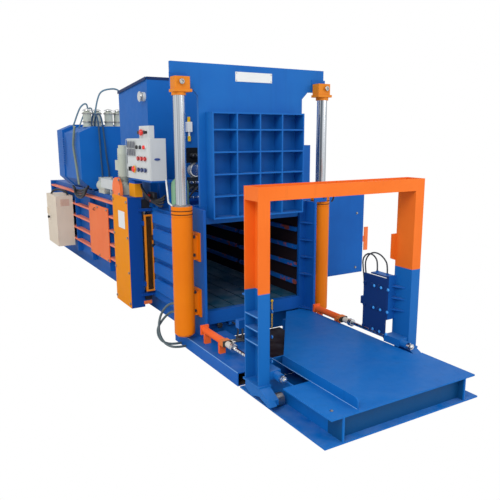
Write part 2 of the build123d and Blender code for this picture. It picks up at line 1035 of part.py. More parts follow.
# Discharge platform: foot plates, webs, front plate and rear cross plates under the deck
with BuildPart() as platform_frame:
    web_foot = deck_plate_thickness + foot_gap
    web_top = deck_height - deck_plate_thickness
    web_back = beam_front + back_gap
    web_front = deck_front - front_web_setback
    with BuildSketch(section(-deck_front)):
        for edge in (-1, 1):
            area(edge * foot_inner, 0, edge * foot_half, deck_plate_thickness)
            area(edge * (web_half - web_plate), web_foot, edge * web_half, web_top)
    extrude(amount=web_back - deck_front)
    block(-foot_half, foot_half, -deck_front, -deck_front + foot_depth, 0, deck_plate_thickness)
    block(-web_half, web_half, -web_front, -web_front + web_plate, web_foot, web_top)
    block(-web_half, web_half, -web_back, -web_back + web_plate, web_foot, web_top)
    for inner_x in inner_web_places:
        block(inner_x, inner_x + inner_web, -web_front, -web_back, web_foot, web_top)
    for rest_x in (cut_x + rest_inset, deck_right - rest_inset - web_plate):
        block(rest_x, rest_x + web_plate, -web_back, -deck_gap, beam_height, web_top)
save("platform_frame", platform_frame)

# Deck plate with a notch for the puller's left lug and its rear left corner cut away
with BuildPart() as deck_plate:
    with BuildSketch(level(deck_height - deck_plate_thickness)):
        with BuildLine():
            Polyline(
                (-deck_half, -deck_front),
                (deck_half, -deck_front),
                (deck_half, -notch_front - notch_step),
                (deck_right, -notch_front - notch_step),
                (deck_right, -deck_gap),
                (cut_x, -deck_gap),
                (-notch_x, -cut_y),
                (-notch_x, -notch_front),
                (-deck_half, -notch_front),
                close=True,
            )
        make_face()
    extrude(amount=deck_plate_thickness)
    block(-fence_x - fence_plate, -fence_x, fence_setback - deck_front, -cut_y, deck_height,
          deck_height + fence_height)
    fence_edge = deck_plate.edges().filter_by(Axis.X).group_by(Axis.Z)[-1].sort_by(Axis.Y)[0]
    fillet(fence_edge, fence_corner)
save("deck_plate", deck_plate)

# Puller portal: channel-section legs and top bar with rounded end plates and feet
wheel_y = -portal_front - wheel_reach
wheel_z = deck_plate_thickness + gland_clearance + wheel_diameter / 2
with BuildPart() as puller_frame:
    bar_bottom = portal_top - portal_bar
    with BuildSketch(level(leg_bottom)):
        for edge in (-1, 1):
            area(edge * portal_inner, -portal_front, edge * (portal_inner + portal_web),
                 -portal_back)
            for flange_y in (-portal_front, -portal_back - portal_web):
                area(edge * portal_inner, flange_y, edge * portal_outer, flange_y + portal_web)
    extrude(amount=portal_top - leg_bottom - portal_bar)
    block(-portal_outer, portal_outer, -portal_front, -portal_back, bar_bottom,
          bar_bottom + portal_web)
    for flange_y in (-portal_front, -portal_back - portal_web):
        block(-portal_outer, portal_outer, flange_y, flange_y + portal_web, bar_bottom,
              portal_top)
    foot_bottom = leg_bottom - leg_foot_plate
    for edge in (-1, 1):
        block(edge * (portal_outer - portal_web), edge * portal_outer, -portal_front,
              -portal_back, bar_bottom, portal_top)
        block(edge * (portal_inner - foot_side_lip), edge * (portal_outer + foot_side_lip),
              -portal_front - foot_front_lip, -portal_back + foot_back_lip, foot_bottom,
              leg_bottom)
        for rib_z in bale_gussets:
            block(edge * (portal_inner + portal_web), edge * portal_outer,
                  -portal_front + portal_web, -portal_back - portal_web, rib_z, rib_z + portal_web)
        lug_z = puller_z - lug_height / 2 + lug_rise
        block(edge * (puller_x - lug_reach), edge * portal_inner, -portal_front + lug_inset,
              -portal_back - lug_inset, lug_z, lug_z + lug_height)
        lengthwise(edge * puller_x, puller_z, -portal_front - boss_length,
                   -portal_front + lug_inset, puller_rod + 2 * boss_lip)
        lengthwise(edge * puller_x, puller_z, -portal_front - boss_length - lug_inset,
                   -portal_back + lug_inset, puller_rod, mode=Mode.SUBTRACT)
        with BuildSketch(side(edge * claw_inner)) as claw_outline:
            with BuildLine():
                Polyline(
                    (-portal_back, foot_bottom),
                    (-portal_back, claw_sole + claw_heel_rise),
                    (-portal_back - claw_heel_reach, claw_sole),
                    (-portal_front, claw_sole + claw_arch_rise),
                    (wheel_y - claw_brow_reach, claw_sole),
                    (wheel_y - claw_toe_reach, claw_sole + claw_toe_rise),
                    (wheel_y - claw_brow_reach, claw_sole + claw_brow_rise),
                    (-portal_front - foot_front_lip, foot_bottom),
                    close=True,
                )
            make_face()
        extrude(claw_outline.sketch, amount=edge * (claw_outer - claw_inner))
        with BuildSketch(side(edge * ankle_inner)) as ankle_outline:
            with BuildLine():
                Polyline(
                    (-portal_back - ankle_back, foot_bottom),
                    (-portal_back - ankle_back, foot_bottom - ankle_drop),
                    (wheel_y + ankle_sole_reach, wheel_z - ankle_sole_drop),
                    (wheel_y - ankle_sole_reach, wheel_z - axle_reach),
                    (wheel_y - claw_brow_reach, claw_sole),
                    (wheel_y - claw_brow_reach, claw_sole + claw_brow_rise),
                    (-portal_front - foot_front_lip, foot_bottom),
                    close=True,
                )
            make_face()
        extrude(ankle_outline.sketch, amount=edge * (claw_inner - ankle_inner))
        crosswise(wheel_y, wheel_z, edge * claw_inner,
                  edge * (wheel_x - wheel_width / 2 - axle_reach), axle_diameter)
    with BuildSketch(section(-portal_back)) as striker_outline:
        with BuildLine():
            Polyline(
                (striker_inner, striker_top),
                (striker_inner, striker_bottom),
                (striker_outer, striker_bottom - striker_slope),
                (striker_outer, striker_top),
                close=True,
            )
        make_face()
    extrude(striker_outline.sketch, amount=-striker_plate)
save("puller_frame", puller_frame)

# Puller wheels, which turn on the axles of the feet
with BuildPart() as puller_wheels:
    for edge in (-1, 1):
        wheel_side = edge * wheel_x - wheel_width / 2
        crosswise(wheel_y, wheel_z, wheel_side, wheel_side + wheel_width, wheel_diameter)
        crosswise(wheel_y, wheel_z, wheel_side, wheel_side + wheel_width,
                  axle_diameter + 2 * gland_clearance, mode=Mode.SUBTRACT)
save("puller_wheels", puller_wheels)

# Puller cylinders: barrel, long gland and rear foot against the gate post
with BuildPart() as puller_cylinders:
    head_half = puller_head_half_width
    lengthwise(puller_x, puller_z, -puller_head, -puller_rear, puller_barrel)
    lengthwise(puller_x, puller_z, -puller_gland, -puller_head, puller_barrel - puller_gland_step)
    block(puller_x - head_half, puller_x + head_half, -puller_port_places[0] - puller_head_overlap,
          -puller_port_places[1] + puller_head_overlap, puller_z - puller_head_half_height,
          puller_z + puller_head_half_height)
    for port_place in puller_port_places:
        crosswise(-port_place, puller_z, puller_port_face, puller_x - head_half, puller_port)
    block(puller_x - puller_foot_half, puller_x + puller_foot_half, -puller_rear, -post_flange,
          puller_z - puller_foot_rise, puller_z + puller_foot_rise)
    for seat_y in (-puller_head + puller_seat_length, -puller_rear - 2 * puller_seat_length):
        block(puller_x - puller_seat_half, puller_x + puller_seat_half, seat_y,
              seat_y + puller_seat_length, beam_height, puller_z)
    lengthwise(puller_x, puller_z, -puller_head + puller_wall, -puller_rear - puller_wall,
               puller_bore, mode=Mode.SUBTRACT)
    lengthwise(puller_x, puller_z, -puller_gland - puller_wall, -puller_head + puller_wall,
               puller_rod + 2 * gland_clearance, mode=Mode.SUBTRACT)
    mirror(about=Plane.YZ)
save("puller_cylinders", puller_cylinders)

# Puller rods with the nuts that clamp them to the portal's lugs
with BuildPart() as puller_rods:
    nut_front = -portal_front - boss_length - nut_length
    for edge in (-1, 1):
        lengthwise(edge * puller_x, puller_z, nut_front, -puller_head + puller_wall, puller_rod)
        lengthwise(edge * puller_x, puller_z, -portal_back - lug_inset,
                   -portal_back - lug_inset + nut_length, puller_rod + 2 * nut_lip)
        lengthwise(edge * puller_x, puller_z, nut_front, -portal_front - boss_length,
                   puller_rod + 2 * nut_lip)
save("puller_rods", puller_rods)

# Bale plates: bolted plate, its bracket to the leg and three gussets, on both sides
with BuildPart() as bale_plates:
    plate_front = -portal_back - bale_plate_gap
    plate_outer = bale_plate_x + bale_plate_thickness
    block(bale_plate_x, plate_outer, plate_front, plate_front + bale_plate_length,
          bale_plate_bottom, bale_plate_top)
    bracket_face = plate_front - bale_bracket_plate
    block(bale_plate_x, portal_inner, bracket_face, plate_front, bale_bracket_bottom,
          bale_plate_top + bale_bracket_rise)
    for gusset_z in bale_gussets:
        with BuildSketch(level(gusset_z)):
            with BuildLine():
                Polyline(
                    (bale_plate_x + bale_gusset_inset, bracket_face),
                    (portal_inner, bracket_face),
                    (portal_inner, bracket_face - bale_gusset_depth),
                    close=True,
                )
            make_face()
        extrude(amount=gusset)
    for row in range(bale_bolt_rows):
        bolt_z = bale_plate_bottom + bale_bolt_edge + row * bale_bolt_pitch_z
        for column in range(bale_bolt_columns):
            bolt_y = plate_front + bale_bolt_setback + column * bale_bolt_pitch_y
            crosswise(bolt_y, bolt_z, bale_plate_x - bale_bolt_head, bale_plate_x, bale_bolt)
    shelf_top = bale_plate_top + shelf_rise
    block(plate_outer, portal_inner, plate_front, plate_front + shelf_depth, shelf_top - gusset,
          shelf_top)
    block(plate_outer, port_base_outer, -port_base_front, -port_base_front + port_base_depth,
          port_base_bottom, port_base_top)
    for port_place in shelf_port_places:
        upright(shelf_port_x, -port_place, shelf_top, shelf_port_top, shelf_port_diameter)
    mirror(about=Plane.YZ)
save("bale_plates", bale_plates)

# Needle housing: a long box across the right side, open towards the chamber wall
with BuildPart() as needle_housing:
    needle_box_back = needle_box_front + needle_box_depth
    needle_box_start = wall_outer + channel_depth + housing_play
    block(needle_box_start, needle_box_end, needle_box_front, needle_box_back,
          needle_box_bottom, needle_box_top)
    block(needle_box_start, needle_box_end - needle_box_plate,
          needle_box_front + needle_box_plate, needle_box_back - needle_box_plate,
          needle_box_bottom + needle_box_plate, needle_box_top - needle_box_plate,
          mode=Mode.SUBTRACT)
    block(tower_inner, tower_inner + tower_width, needle_box_front + tower_front_inset,
          needle_box_back - tower_back_inset, needle_box_top, needle_box_top + tower_height)
    lug_front = ribs_end + housing_play
    lug_head = needle_box_top - housing_head_drop
    block(wall_outer, needle_box_start, lug_front, lug_front + housing_lug_depth,
          needle_box_bottom, needle_box_bottom + housing_foot_height)
    block(wall_outer, needle_box_start, lug_front, lug_front + housing_lug_depth,
          lug_head - housing_head_height, lug_head)
save("needle_housing", needle_housing)

# Needle carriage: upright beam with four flat needles, on the floor of the housing
with BuildPart() as needle_carriage:
    block(needle_root, needle_root + carriage_width, needle_y - carriage_depth / 2,
          needle_y + carriage_depth / 2, needle_box_bottom + needle_box_plate + gland_clearance,
          needle_box_top - needle_box_plate - carriage_top_play)
    for wire_z in wire_levels:
        with BuildSketch(level(wire_z - needle_bar / 2)):
            with BuildLine():
                Polyline(
                    (needle_root, needle_y - needle_blade / 2),
                    (needle_tip + needle_point, needle_y - needle_blade / 2),
                    (needle_tip, needle_y),
                    (needle_tip + needle_point, needle_y + needle_blade / 2),
                    (needle_root, needle_y + needle_blade / 2),
                    close=True,
                )
            make_face()
        extrude(amount=needle_bar)
save("needle_carriage", needle_carriage)

# Tie unit housing on the left, with the two brackets that hold the twister
with BuildPart() as tie_housing:
    block(-tie_outer, -tie_inner, tie_front, tie_front + tie_depth, tie_bottom, tie_top)
    for bracket_level in tie_bracket_levels:
        with BuildSketch(level(bracket_level)):
            area(-tie_inner - tie_bracket_reach, guard_y + 2 * guard_half_depth, -wall_outer,
                 tie_front + tie_bracket_back)
            with Locations((-twister_x, needle_y)):
                Circle(twister_shaft_diameter / 2 + housing_play, mode=Mode.SUBTRACT)
        extrude(amount=tie_bracket)
    hinge_x = -guard_outer - guard_pin / 2 - door_gap
    for hinge_z in (guard_bottom + guard_hinge_foot, guard_top - guard_hinge_head):
        block(hinge_x - guard_pin, -guard_outer - hinge_inset,
              guard_y + guard_pin / 2 - housing_play, tie_front, hinge_z,
              hinge_z + guard_hinge_height)
        upright(hinge_x, guard_y, hinge_z, hinge_z + guard_hinge_height, guard_pin)
save("tie_housing", tie_housing)

# Twister shaft with a hooked disc at each wire level
with BuildPart() as twister_shaft:
    upright(-twister_x, needle_y, twister_bottom, twister_top, twister_shaft_diameter)
    for wire_z in wire_levels:
        with BuildSketch(level(wire_z - twister_disc_width / 2)):
            with Locations((-twister_x, needle_y)):
                Circle(twister_disc / 2)
                with PolarLocations(twister_disc / 2, twister_hook_count):
                    Circle(twister_hook / 2, mode=Mode.SUBTRACT)
        extrude(amount=twister_disc_width)
save("twister_shaft", twister_shaft)

# Bearings of the twister: black block above, foot below
with BuildPart() as twister_bearings:
    upper_level, lower_level = tie_bracket_levels
    with BuildSketch(level(upper_level + tie_bracket)):
        with Locations((-twister_x, needle_y)):
            Rectangle(bearing_width, bearing_depth)
            Circle(twister_shaft_diameter / 2 + gland_clearance, mode=Mode.SUBTRACT)
    extrude(amount=bearing_height)
    with BuildSketch(level(lower_level - footstep_height)):
        with Locations((-twister_x, needle_y)):
            Rectangle(footstep_width, footstep_depth)
    extrude(amount=footstep_height)
    upright(-twister_x, needle_y, twister_bottom - gland_clearance, lower_level + housing_play,
            twister_shaft_diameter + 2 * gland_clearance, mode=Mode.SUBTRACT)
save("twister_bearings", twister_bearings)

# Mesh guard: orange frame with a perforated sheet, hinged at its outer edge
with BuildPart() as mesh_guard:
    with BuildSketch(section(guard_y + guard_half_depth)):
        area(-guard_outer, guard_bottom, -guard_inner, guard_top)
        area(-guard_outer + guard_frame, guard_bottom + guard_frame,
             -guard_inner - guard_frame, guard_top - guard_frame, mode=Mode.SUBTRACT)
    extrude(amount=guard_thickness)
    with BuildSketch(section(guard_y + guard_sheet / 2)):
        area(-guard_outer + guard_frame, guard_bottom + guard_frame,
             -guard_inner - guard_frame, guard_top - guard_frame)
    extrude(amount=guard_sheet)
    catch_x = -guard_inner - guard_catch_inset
    block(catch_x - guard_catch_width, catch_x, guard_y - guard_half_depth - guard_catch_width,
          guard_y - guard_half_depth, guard_catch_bottom, guard_catch_top)
save("mesh_guard", mesh_guard)

# Tie motor: gearbox, upright motor and terminal box
with BuildPart() as tie_motor:
    motor_bottom = tie_top + gearbox_height + gearbox_neck
    motor_top = motor_bottom + tie_motor_height
    block(tie_motor_x - gearbox_width / 2, tie_motor_x + gearbox_width / 2,
          tie_motor_y - gearbox_front, tie_motor_y + gearbox_back, tie_top,
          tie_top + gearbox_height)
    upright(tie_motor_x, tie_motor_y, tie_top + gearbox_height, motor_bottom,
            gearbox_neck_diameter)
    upright(tie_motor_x, tie_motor_y, motor_bottom, motor_top, tie_motor_diameter)
    upright(tie_motor_x, tie_motor_y, motor_top, motor_top + tie_motor_cap,
            tie_motor_diameter - tie_motor_cap_step)
    motor_box_x = tie_motor_x - motor_box_inset
    motor_box_y = tie_motor_y + motor_box_setback
    motor_box_z = motor_bottom + motor_box_rise
    block(motor_box_x, motor_box_x + motor_box_width, motor_box_y, motor_box_y + motor_box_depth,
          motor_box_z, motor_box_z + motor_box_height)
save("tie_motor", tie_motor)

# Rounded chain guard beside the gearbox
with BuildPart() as chain_guard:
    chain_back = chain_front + chain_length
    with BuildSketch(side(-tie_outer)):
        area(chain_front, tie_top, chain_back, tie_top + chain_base)
        with Locations(((chain_front + chain_back) / 2, tie_top + chain_base)):
            Circle(chain_length / 2)
        area(chain_front, tie_top - chain_length, chain_back, tie_top, mode=Mode.SUBTRACT)
    extrude(amount=chain_depth)
save("chain_guard", chain_guard)

# Wire feeder on top of the tie housing: box with a round cap
with BuildPart() as wire_feeder:
    feeder_front = tie_front - feeder_inset
    feeder_top = tie_top + feeder_height
    block(-feeder_outer, -tie_inner + feeder_inset, feeder_front, feeder_front + feeder_length,
          tie_top, feeder_top)
    upright(feeder_cap_x, tie_front + feeder_cap_setback, feeder_top,
            feeder_top + feeder_cap_height, feeder_cap_diameter)
save("wire_feeder", wire_feeder)

# Pale junction box on two feet on the roof
with BuildPart() as junction_box:
    junction_inner = junction_width - junction_outer
    block(-junction_outer, junction_inner, junction_front, junction_front + junction_length,
          junction_bottom, junction_bottom + junction_height)
    for foot_setback in junction_foot_setbacks:
        foot_x = junction_inner - junction_foot_inset
        foot_y = junction_front + foot_setback
        block(foot_x - junction_foot_width, foot_x, foot_y, foot_y + junction_foot_depth,
              roof_top, junction_bottom)
save("junction_box", junction_box)

# Control box with the small alarm box on top
stop_top_y = control_front + alarm_setback + alarm_stop_setback
stop_top_z = control_top + alarm_stop_rise
with BuildPart() as control_box:
    block(-control_outer, -control_inner, control_front, control_back, control_bottom,
          control_top)
    block(-control_outer, -control_inner - box_wall, control_front + box_wall,
          control_back - box_wall, control_bottom + box_wall, control_top - box_wall,
          mode=Mode.SUBTRACT)
    alarm_front = control_front + alarm_setback
    block(-control_outer, -control_outer + alarm_depth, alarm_front, alarm_front + alarm_length,
          control_top, control_top + alarm_height)
    crosswise(stop_top_y, stop_top_z, -control_outer - switch_play,
              -control_outer + stop_stem_depth + stop_rim, button_stem + hole_play,
              mode=Mode.SUBTRACT)
save("control_box", control_box)

# Places of the push-buttons on the door: three lamps above two rows of buttons
button_columns = [control_front + button_columns_setback + k * button_pitch_y
                  for k in range(button_count)]
lamp_z = control_bottom + lamp_rise
button_rows = [lamp_z - button_pitch_z, lamp_z - 2 * button_pitch_z]
switch_y = control_front + switch_setback
stop_y = control_front + stop_setback
door_inner = -control_outer - door_gap

# Control door: panel with lamps, a blank legend plate and two hinge knuckles
with BuildPart() as control_door_piece:
    block(-door_outer, door_inner, control_front, control_back, control_bottom, control_top)
    fillet(control_door_piece.edges().filter_by(Axis.X), control_door_round)
    for lamp_y in button_columns:
        crosswise(lamp_y, lamp_z, -door_outer - lamp_reach, -door_outer, lamp_diameter)
    block(-door_outer - legend_reach, -door_outer, stop_y - legend_front,
          control_back - legend_back, lamp_z - legend_drop, control_top - legend_head)
    for hole_z in button_rows:
        for hole_y in button_columns:
            crosswise(hole_y, hole_z, -door_outer - switch_play, door_inner + switch_play,
                      button_stem + hole_play, mode=Mode.SUBTRACT)
    for hole_y in (switch_y, stop_y):
        crosswise(hole_y, button_rows[1], -door_outer - switch_play, door_inner + switch_play,
                  button_stem + hole_play, mode=Mode.SUBTRACT)
    for knuckle_z in (control_bottom + knuckle_foot, control_top - knuckle_head):
        upright(-door_outer, control_back, knuckle_z, knuckle_z + knuckle_height,
                knuckle_diameter)
save("control_door", control_door_piece)

# Push-buttons: cap and stem
button_number = 0
cap_back = -door_outer - button_stroke - button_gap
stem_end = door_inner - button_stroke - stem_play
for row_z in button_rows:
    for column_y in button_columns:
        button_number += 1
        with BuildPart() as button:
            crosswise(column_y, row_z, -door_outer - button_reach, cap_back, button_diameter)
            fillet(button.edges().group_by(Axis.X)[0], button_round)
            crosswise(column_y, row_z, cap_back, stem_end, button_stem)
        save(f"button_{button_number}", button)

# Selector switch: round base with a raised grip
with BuildPart() as selector_switch:
    switch_z = button_rows[1]
    base_face = -door_outer - switch_base_reach
    crosswise(switch_y, switch_z, base_face, -door_outer - switch_play, switch_base_diameter)
    block(-door_outer - grip_reach, base_face, switch_y - grip_width / 2,
          switch_y + grip_width / 2, switch_z - grip_height / 2, switch_z + grip_height / 2)
    crosswise(switch_y, switch_z, -door_outer - switch_play, door_inner - stem_play, button_stem)
save("selector_switch", selector_switch)


def mushroom(y, z, face_x):
    """Emergency stop: mushroom head on a stem that passes into the panel."""
    with BuildPart() as stop:
        with BuildSketch(section(y)):
            with BuildLine():
                Polyline(
                    (face_x + stop_stem_depth, z),
                    (face_x + stop_stem_depth, z + button_stem / 2),
                    (face_x - stop_neck, z + button_stem / 2),
                    (face_x - stop_neck, z + stop_head_radius),
                    (face_x - stop_rim, z + stop_rim_radius),
                    (face_x - stop_crown, z + stop_crown_radius),
                    (face_x - stop_tip, z),
                    close=True,
                )
            make_face()
        revolve(axis=Axis((face_x, y, z), (1, 0, 0)))
    return stop


stop_main = mushroom(stop_y, button_rows[1], -door_outer)
save("stop_main", stop_main)
stop_top = mushroom(stop_top_y, stop_top_z, -control_outer)
save("stop_top", stop_top)

# Electrical cabinet on the side bars: hollow box, open towards its door
with BuildPart() as cabinet:
    block(-cabinet_outer, -bars_outer, cabinet_front, cabinet_back, cabinet_bottom, cabinet_top)
    block(-cabinet_outer, -bars_outer - box_wall, cabinet_front + box_wall,
          cabinet_back - box_wall, cabinet_bottom + box_wall, cabinet_top - box_wall,
          mode=Mode.SUBTRACT)
save("cabinet", cabinet)

# Cabinet door with its lock and two hinge knuckles
with BuildPart() as cabinet_door:
    block(-cabinet_door_outer, -cabinet_outer - door_gap, cabinet_front, cabinet_back,
          cabinet_bottom, cabinet_top)
    fillet(cabinet_door.edges().filter_by(Axis.X), cabinet_door_round)
    lock_y = cabinet_back - lock_setback
    lock_z = cabinet_bottom + lock_rise
    block(-cabinet_door_outer - lock_reach, -cabinet_door_outer, lock_y, lock_y + lock_width,
          lock_z, lock_z + lock_height)
    for knuckle_z in (cabinet_bottom + knuckle_foot, cabinet_top - knuckle_head):
        upright(-cabinet_door_outer, cabinet_front, knuckle_z, knuckle_z + knuckle_height,
                knuckle_diameter)
save("cabinet_door", cabinet_door)

# Valve group of the gate cylinders on the chamber roof, with the round gauge and the solenoid
# block, and the small valve with its two pipes on the hopper's front face
with BuildPart() as valve_group:
    base_top = roof_top + roof_beam_height + valve_base_height
    block_top = base_top + valve_block_height
    block(valve_left, valve_right, valve_front, valve_front + valve_depth,
          roof_top + roof_beam_height, base_top)
    block(valve_left + valve_block_inset, valve_right - valve_block_inset,
          valve_front + valve_block_inset, valve_front + valve_depth - valve_block_inset,
          base_top, block_top)
    gauge_y = valve_front + gauge_setback
    solenoid_y = valve_front + solenoid_setback
    upright(gauge_x, solenoid_y + solenoid_depth / 2, block_top, solenoid_bottom, riser_diameter)
    lengthwise(gauge_x, gauge_z, gauge_y, gauge_y + gauge_depth, gauge_diameter)
    block(solenoid_left, solenoid_right, solenoid_y, solenoid_y + solenoid_depth,
          solenoid_bottom, solenoid_bottom + solenoid_height)
    block(pilot_x - pilot_width / 2, pilot_x + pilot_width / 2, hopper_front - pilot_depth,
          hopper_front, pilot_bottom, pilot_bottom + pilot_height)
    upright(pilot_x, hopper_front - pilot_depth / 2, pilot_pipe_bottom, pilot_pipe_top,
            pilot_pipe)
save("valve_group", valve_group)


def hose(points, diameter):
    """Hose tube along straight runs joined by the largest tangent arcs the runs allow."""
    corners = [Vector(*point) for point in points]
    radii = []
    for before, here, after in zip(corners, corners[1:], corners[2:]):
        turn = (here - before).get_angle(after - here)
        shorter = min((here - before).length, (after - here).length)
        radii.append(bend_share * shorter / tan(radians(turn) / 2))
    print("hose radii", [round(radius) for radius in radii])
    with BuildPart() as tube:
        with BuildLine() as route:
            FilletPolyline(*corners, radius=radii)
        with BuildSketch(Plane(route.line @ 0, z_dir=route.line % 0)):
            Circle(diameter / 2)
        sweep(path=route.line)
    length = sum(edge.length for edge in route.edges())
    ratio = tube.part.volume / (pi * diameter ** 2 / 4 * length)
    print("hose length", round(length), "volume ratio", round(ratio, 4))
    return tube


# Hoses of the lift cylinders: from the ports back and down to the side beams
lift_hose_a = hose(
    [(-788, 110, 420), (-788, 205, 420), (-828, 290, 385), (-885, 325, 300),
     (-925, 305, 200), (-947, 234, 106), (-931, 114, 42), (-852, 50, 19),
     (-754, 50, 19)],
    hose_large,
)
save("lift_hose_a", lift_hose_a)
lift_hose_b = hose(
    [(-788, 110, 330), (-788, 194, 330), (-798, 283, 310), (-849, 353, 235),
     (-938, 334, 136), (-946, 225, 55), (-868, 150, 19), (-754, 150, 19)],
    hose_large,
)
save("lift_hose_b", lift_hose_b)
lift_hose_c = mirrored(lift_hose_b)
save("lift_hose_c", lift_hose_c)

# Hoses of the left puller cylinder: from under the sill to the two ports on its head
puller_hose_a = hose(
    [(-250, 20, 178), (-250, -70, 178), (-290, -165, 160), (-350, -255, 142),
     (-415, -340, 134), (-409, -453, 173), (-488, -560, 232), (-600, -560, 232)],
    hose_medium,
)
save("puller_hose_a", puller_hose_a)
puller_hose_b = hose(
    [(-205, 20, 178), (-205, -75, 178), (-245, -170, 152), (-300, -265, 136),
     (-360, -360, 131), (-405, -492, 167), (-492, -600, 232), (-600, -600, 232)],
    hose_medium,
)
save("puller_hose_b", puller_hose_b)

# Hoses of the right bale plate: up behind it and over to the shelf of its bracket
plate_hose_a = hose(
    [(655, -890, 540), (655, -890, 667), (649, -871, 798), (650, -859, 879),
     (656, -881, 925), (661, -921, 949), (668, -966, 948), (674, -1005, 923),
     (680, -1024, 881), (680, -1024, 805)],
    hose_small,
)
save("plate_hose_a", plate_hose_a)
plate_hose_b = hose(
    [(690, -890, 540), (690, -890, 650), (684, -870, 760), (680, -860, 855),
     (680, -895, 925), (681, -960, 965), (682, -1040, 965), (682, -1111, 928),
     (680, -1151, 882), (680, -1151, 805)],
    hose_small,
)
save("plate_hose_b", plate_hose_b)

# Hoses of the pumps: up from the tank and down over its front
tank_hose_a = hose(
    [(-512, 3760, 2160), (-512, 3760, 2236), (-511, 3722, 2301),
     (-509, 3657, 2339), (-506, 3582, 2339), (-503, 3519, 2303),
     (-500, 3478, 2235), (-497, 3470, 2106), (-493, 3465, 1892),
     (-490, 3462, 1680), (-485, 3455, 1540), (-485, 3455, 1440)],
    hose_tank,
)
save("tank_hose_a", tank_hose_a)
tank_hose_b = hose(
    [(-468, 3760, 2160), (-468, 3760, 2236), (-462, 3722, 2301),
     (-456, 3657, 2339), (-451, 3582, 2339), (-447, 3519, 2303),
     (-442, 3478, 2235), (-434, 3470, 2106), (-420, 3465, 1892),
     (-405, 3462, 1680), (-385, 3455, 1540), (-385, 3455, 1440)],
    hose_tank,
)
save("tank_hose_b", tank_hose_b)
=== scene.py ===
"""Looks of the horizontal recycling baler: camera, finishes, hoses, bolts and small trim.

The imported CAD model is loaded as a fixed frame. Looks gives each of its nodes a finish, and
each sub-assembly class adds the pieces that are too small for the CAD. Metres throughout, in
the frame of the CAD: X to the right, Y back along the machine, Z up.
"""

import json
import logging
import math
from dataclasses import dataclass
from enum import Enum
from functools import cache
from typing import Iterable, Sequence

import bmesh
import bpy
import numpy as np
from mathutils import Matrix, Vector

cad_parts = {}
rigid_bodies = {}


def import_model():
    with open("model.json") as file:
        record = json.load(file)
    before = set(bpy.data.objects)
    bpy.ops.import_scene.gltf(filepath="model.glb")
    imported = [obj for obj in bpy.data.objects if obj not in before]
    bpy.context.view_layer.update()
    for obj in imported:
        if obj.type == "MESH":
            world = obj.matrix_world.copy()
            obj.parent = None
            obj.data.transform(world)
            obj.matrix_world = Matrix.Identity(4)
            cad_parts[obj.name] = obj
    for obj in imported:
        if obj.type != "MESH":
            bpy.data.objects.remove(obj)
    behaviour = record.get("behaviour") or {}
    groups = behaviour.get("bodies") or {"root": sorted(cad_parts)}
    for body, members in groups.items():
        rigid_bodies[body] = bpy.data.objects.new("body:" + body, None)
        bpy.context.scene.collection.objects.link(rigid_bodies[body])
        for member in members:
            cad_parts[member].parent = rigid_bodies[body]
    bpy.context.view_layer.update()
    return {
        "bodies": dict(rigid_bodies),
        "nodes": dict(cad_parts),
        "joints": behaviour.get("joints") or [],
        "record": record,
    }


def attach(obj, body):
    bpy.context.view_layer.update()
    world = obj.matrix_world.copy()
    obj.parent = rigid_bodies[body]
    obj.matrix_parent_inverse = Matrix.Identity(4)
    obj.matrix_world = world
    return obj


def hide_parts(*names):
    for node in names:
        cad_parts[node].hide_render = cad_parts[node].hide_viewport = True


log = logging.getLogger("baler")

Point = tuple[float, float, float]
Box = tuple[Point, Point]
Rgb = tuple[int, int, int]
Profile = tuple[tuple[float, float], ...]
Socket = bpy.types.NodeSocket

WHITE = (1.0, 1.0, 1.0, 1.0)
ALONG_X = (1.0, 0.0, 0.0)
ALONG_Y = (0.0, 1.0, 0.0)
ALONG_Z = (0.0, 0.0, 1.0)
SHARP_ANGLE = math.radians(35)
WELD_DISTANCE = 1e-6


class Stiffness(str, Enum):
    """Stiffness word of a free hose."""

    MEDIUM = "medium"


class Axis(Enum):
    """Direction that a round piece points in."""

    X = ALONG_X
    Y = ALONG_Y
    Z = ALONG_Z


def linear(red: int, green: int, blue: int) -> tuple[float, float, float, float]:
    """Turn a colour as seen on screen into the linear values that shaders take.

    Args:
        red: Red from 0 to 255.
        green: Green from 0 to 255.
        blue: Blue from 0 to 255.

    Returns:
        Linear red, green, blue and an alpha of one.
    """
    seen = np.array([red, green, blue]) / 255
    low = seen / 12.92
    high = ((seen + 0.055) / 1.055) ** 2.4
    return (*np.where(seen <= 0.04045, low, high).tolist(), 1.0)


@dataclass(frozen=True)
class Patches:
    """Noise stretched so that low becomes zero and high becomes one."""

    scale: float
    detail: float
    low: float
    high: float


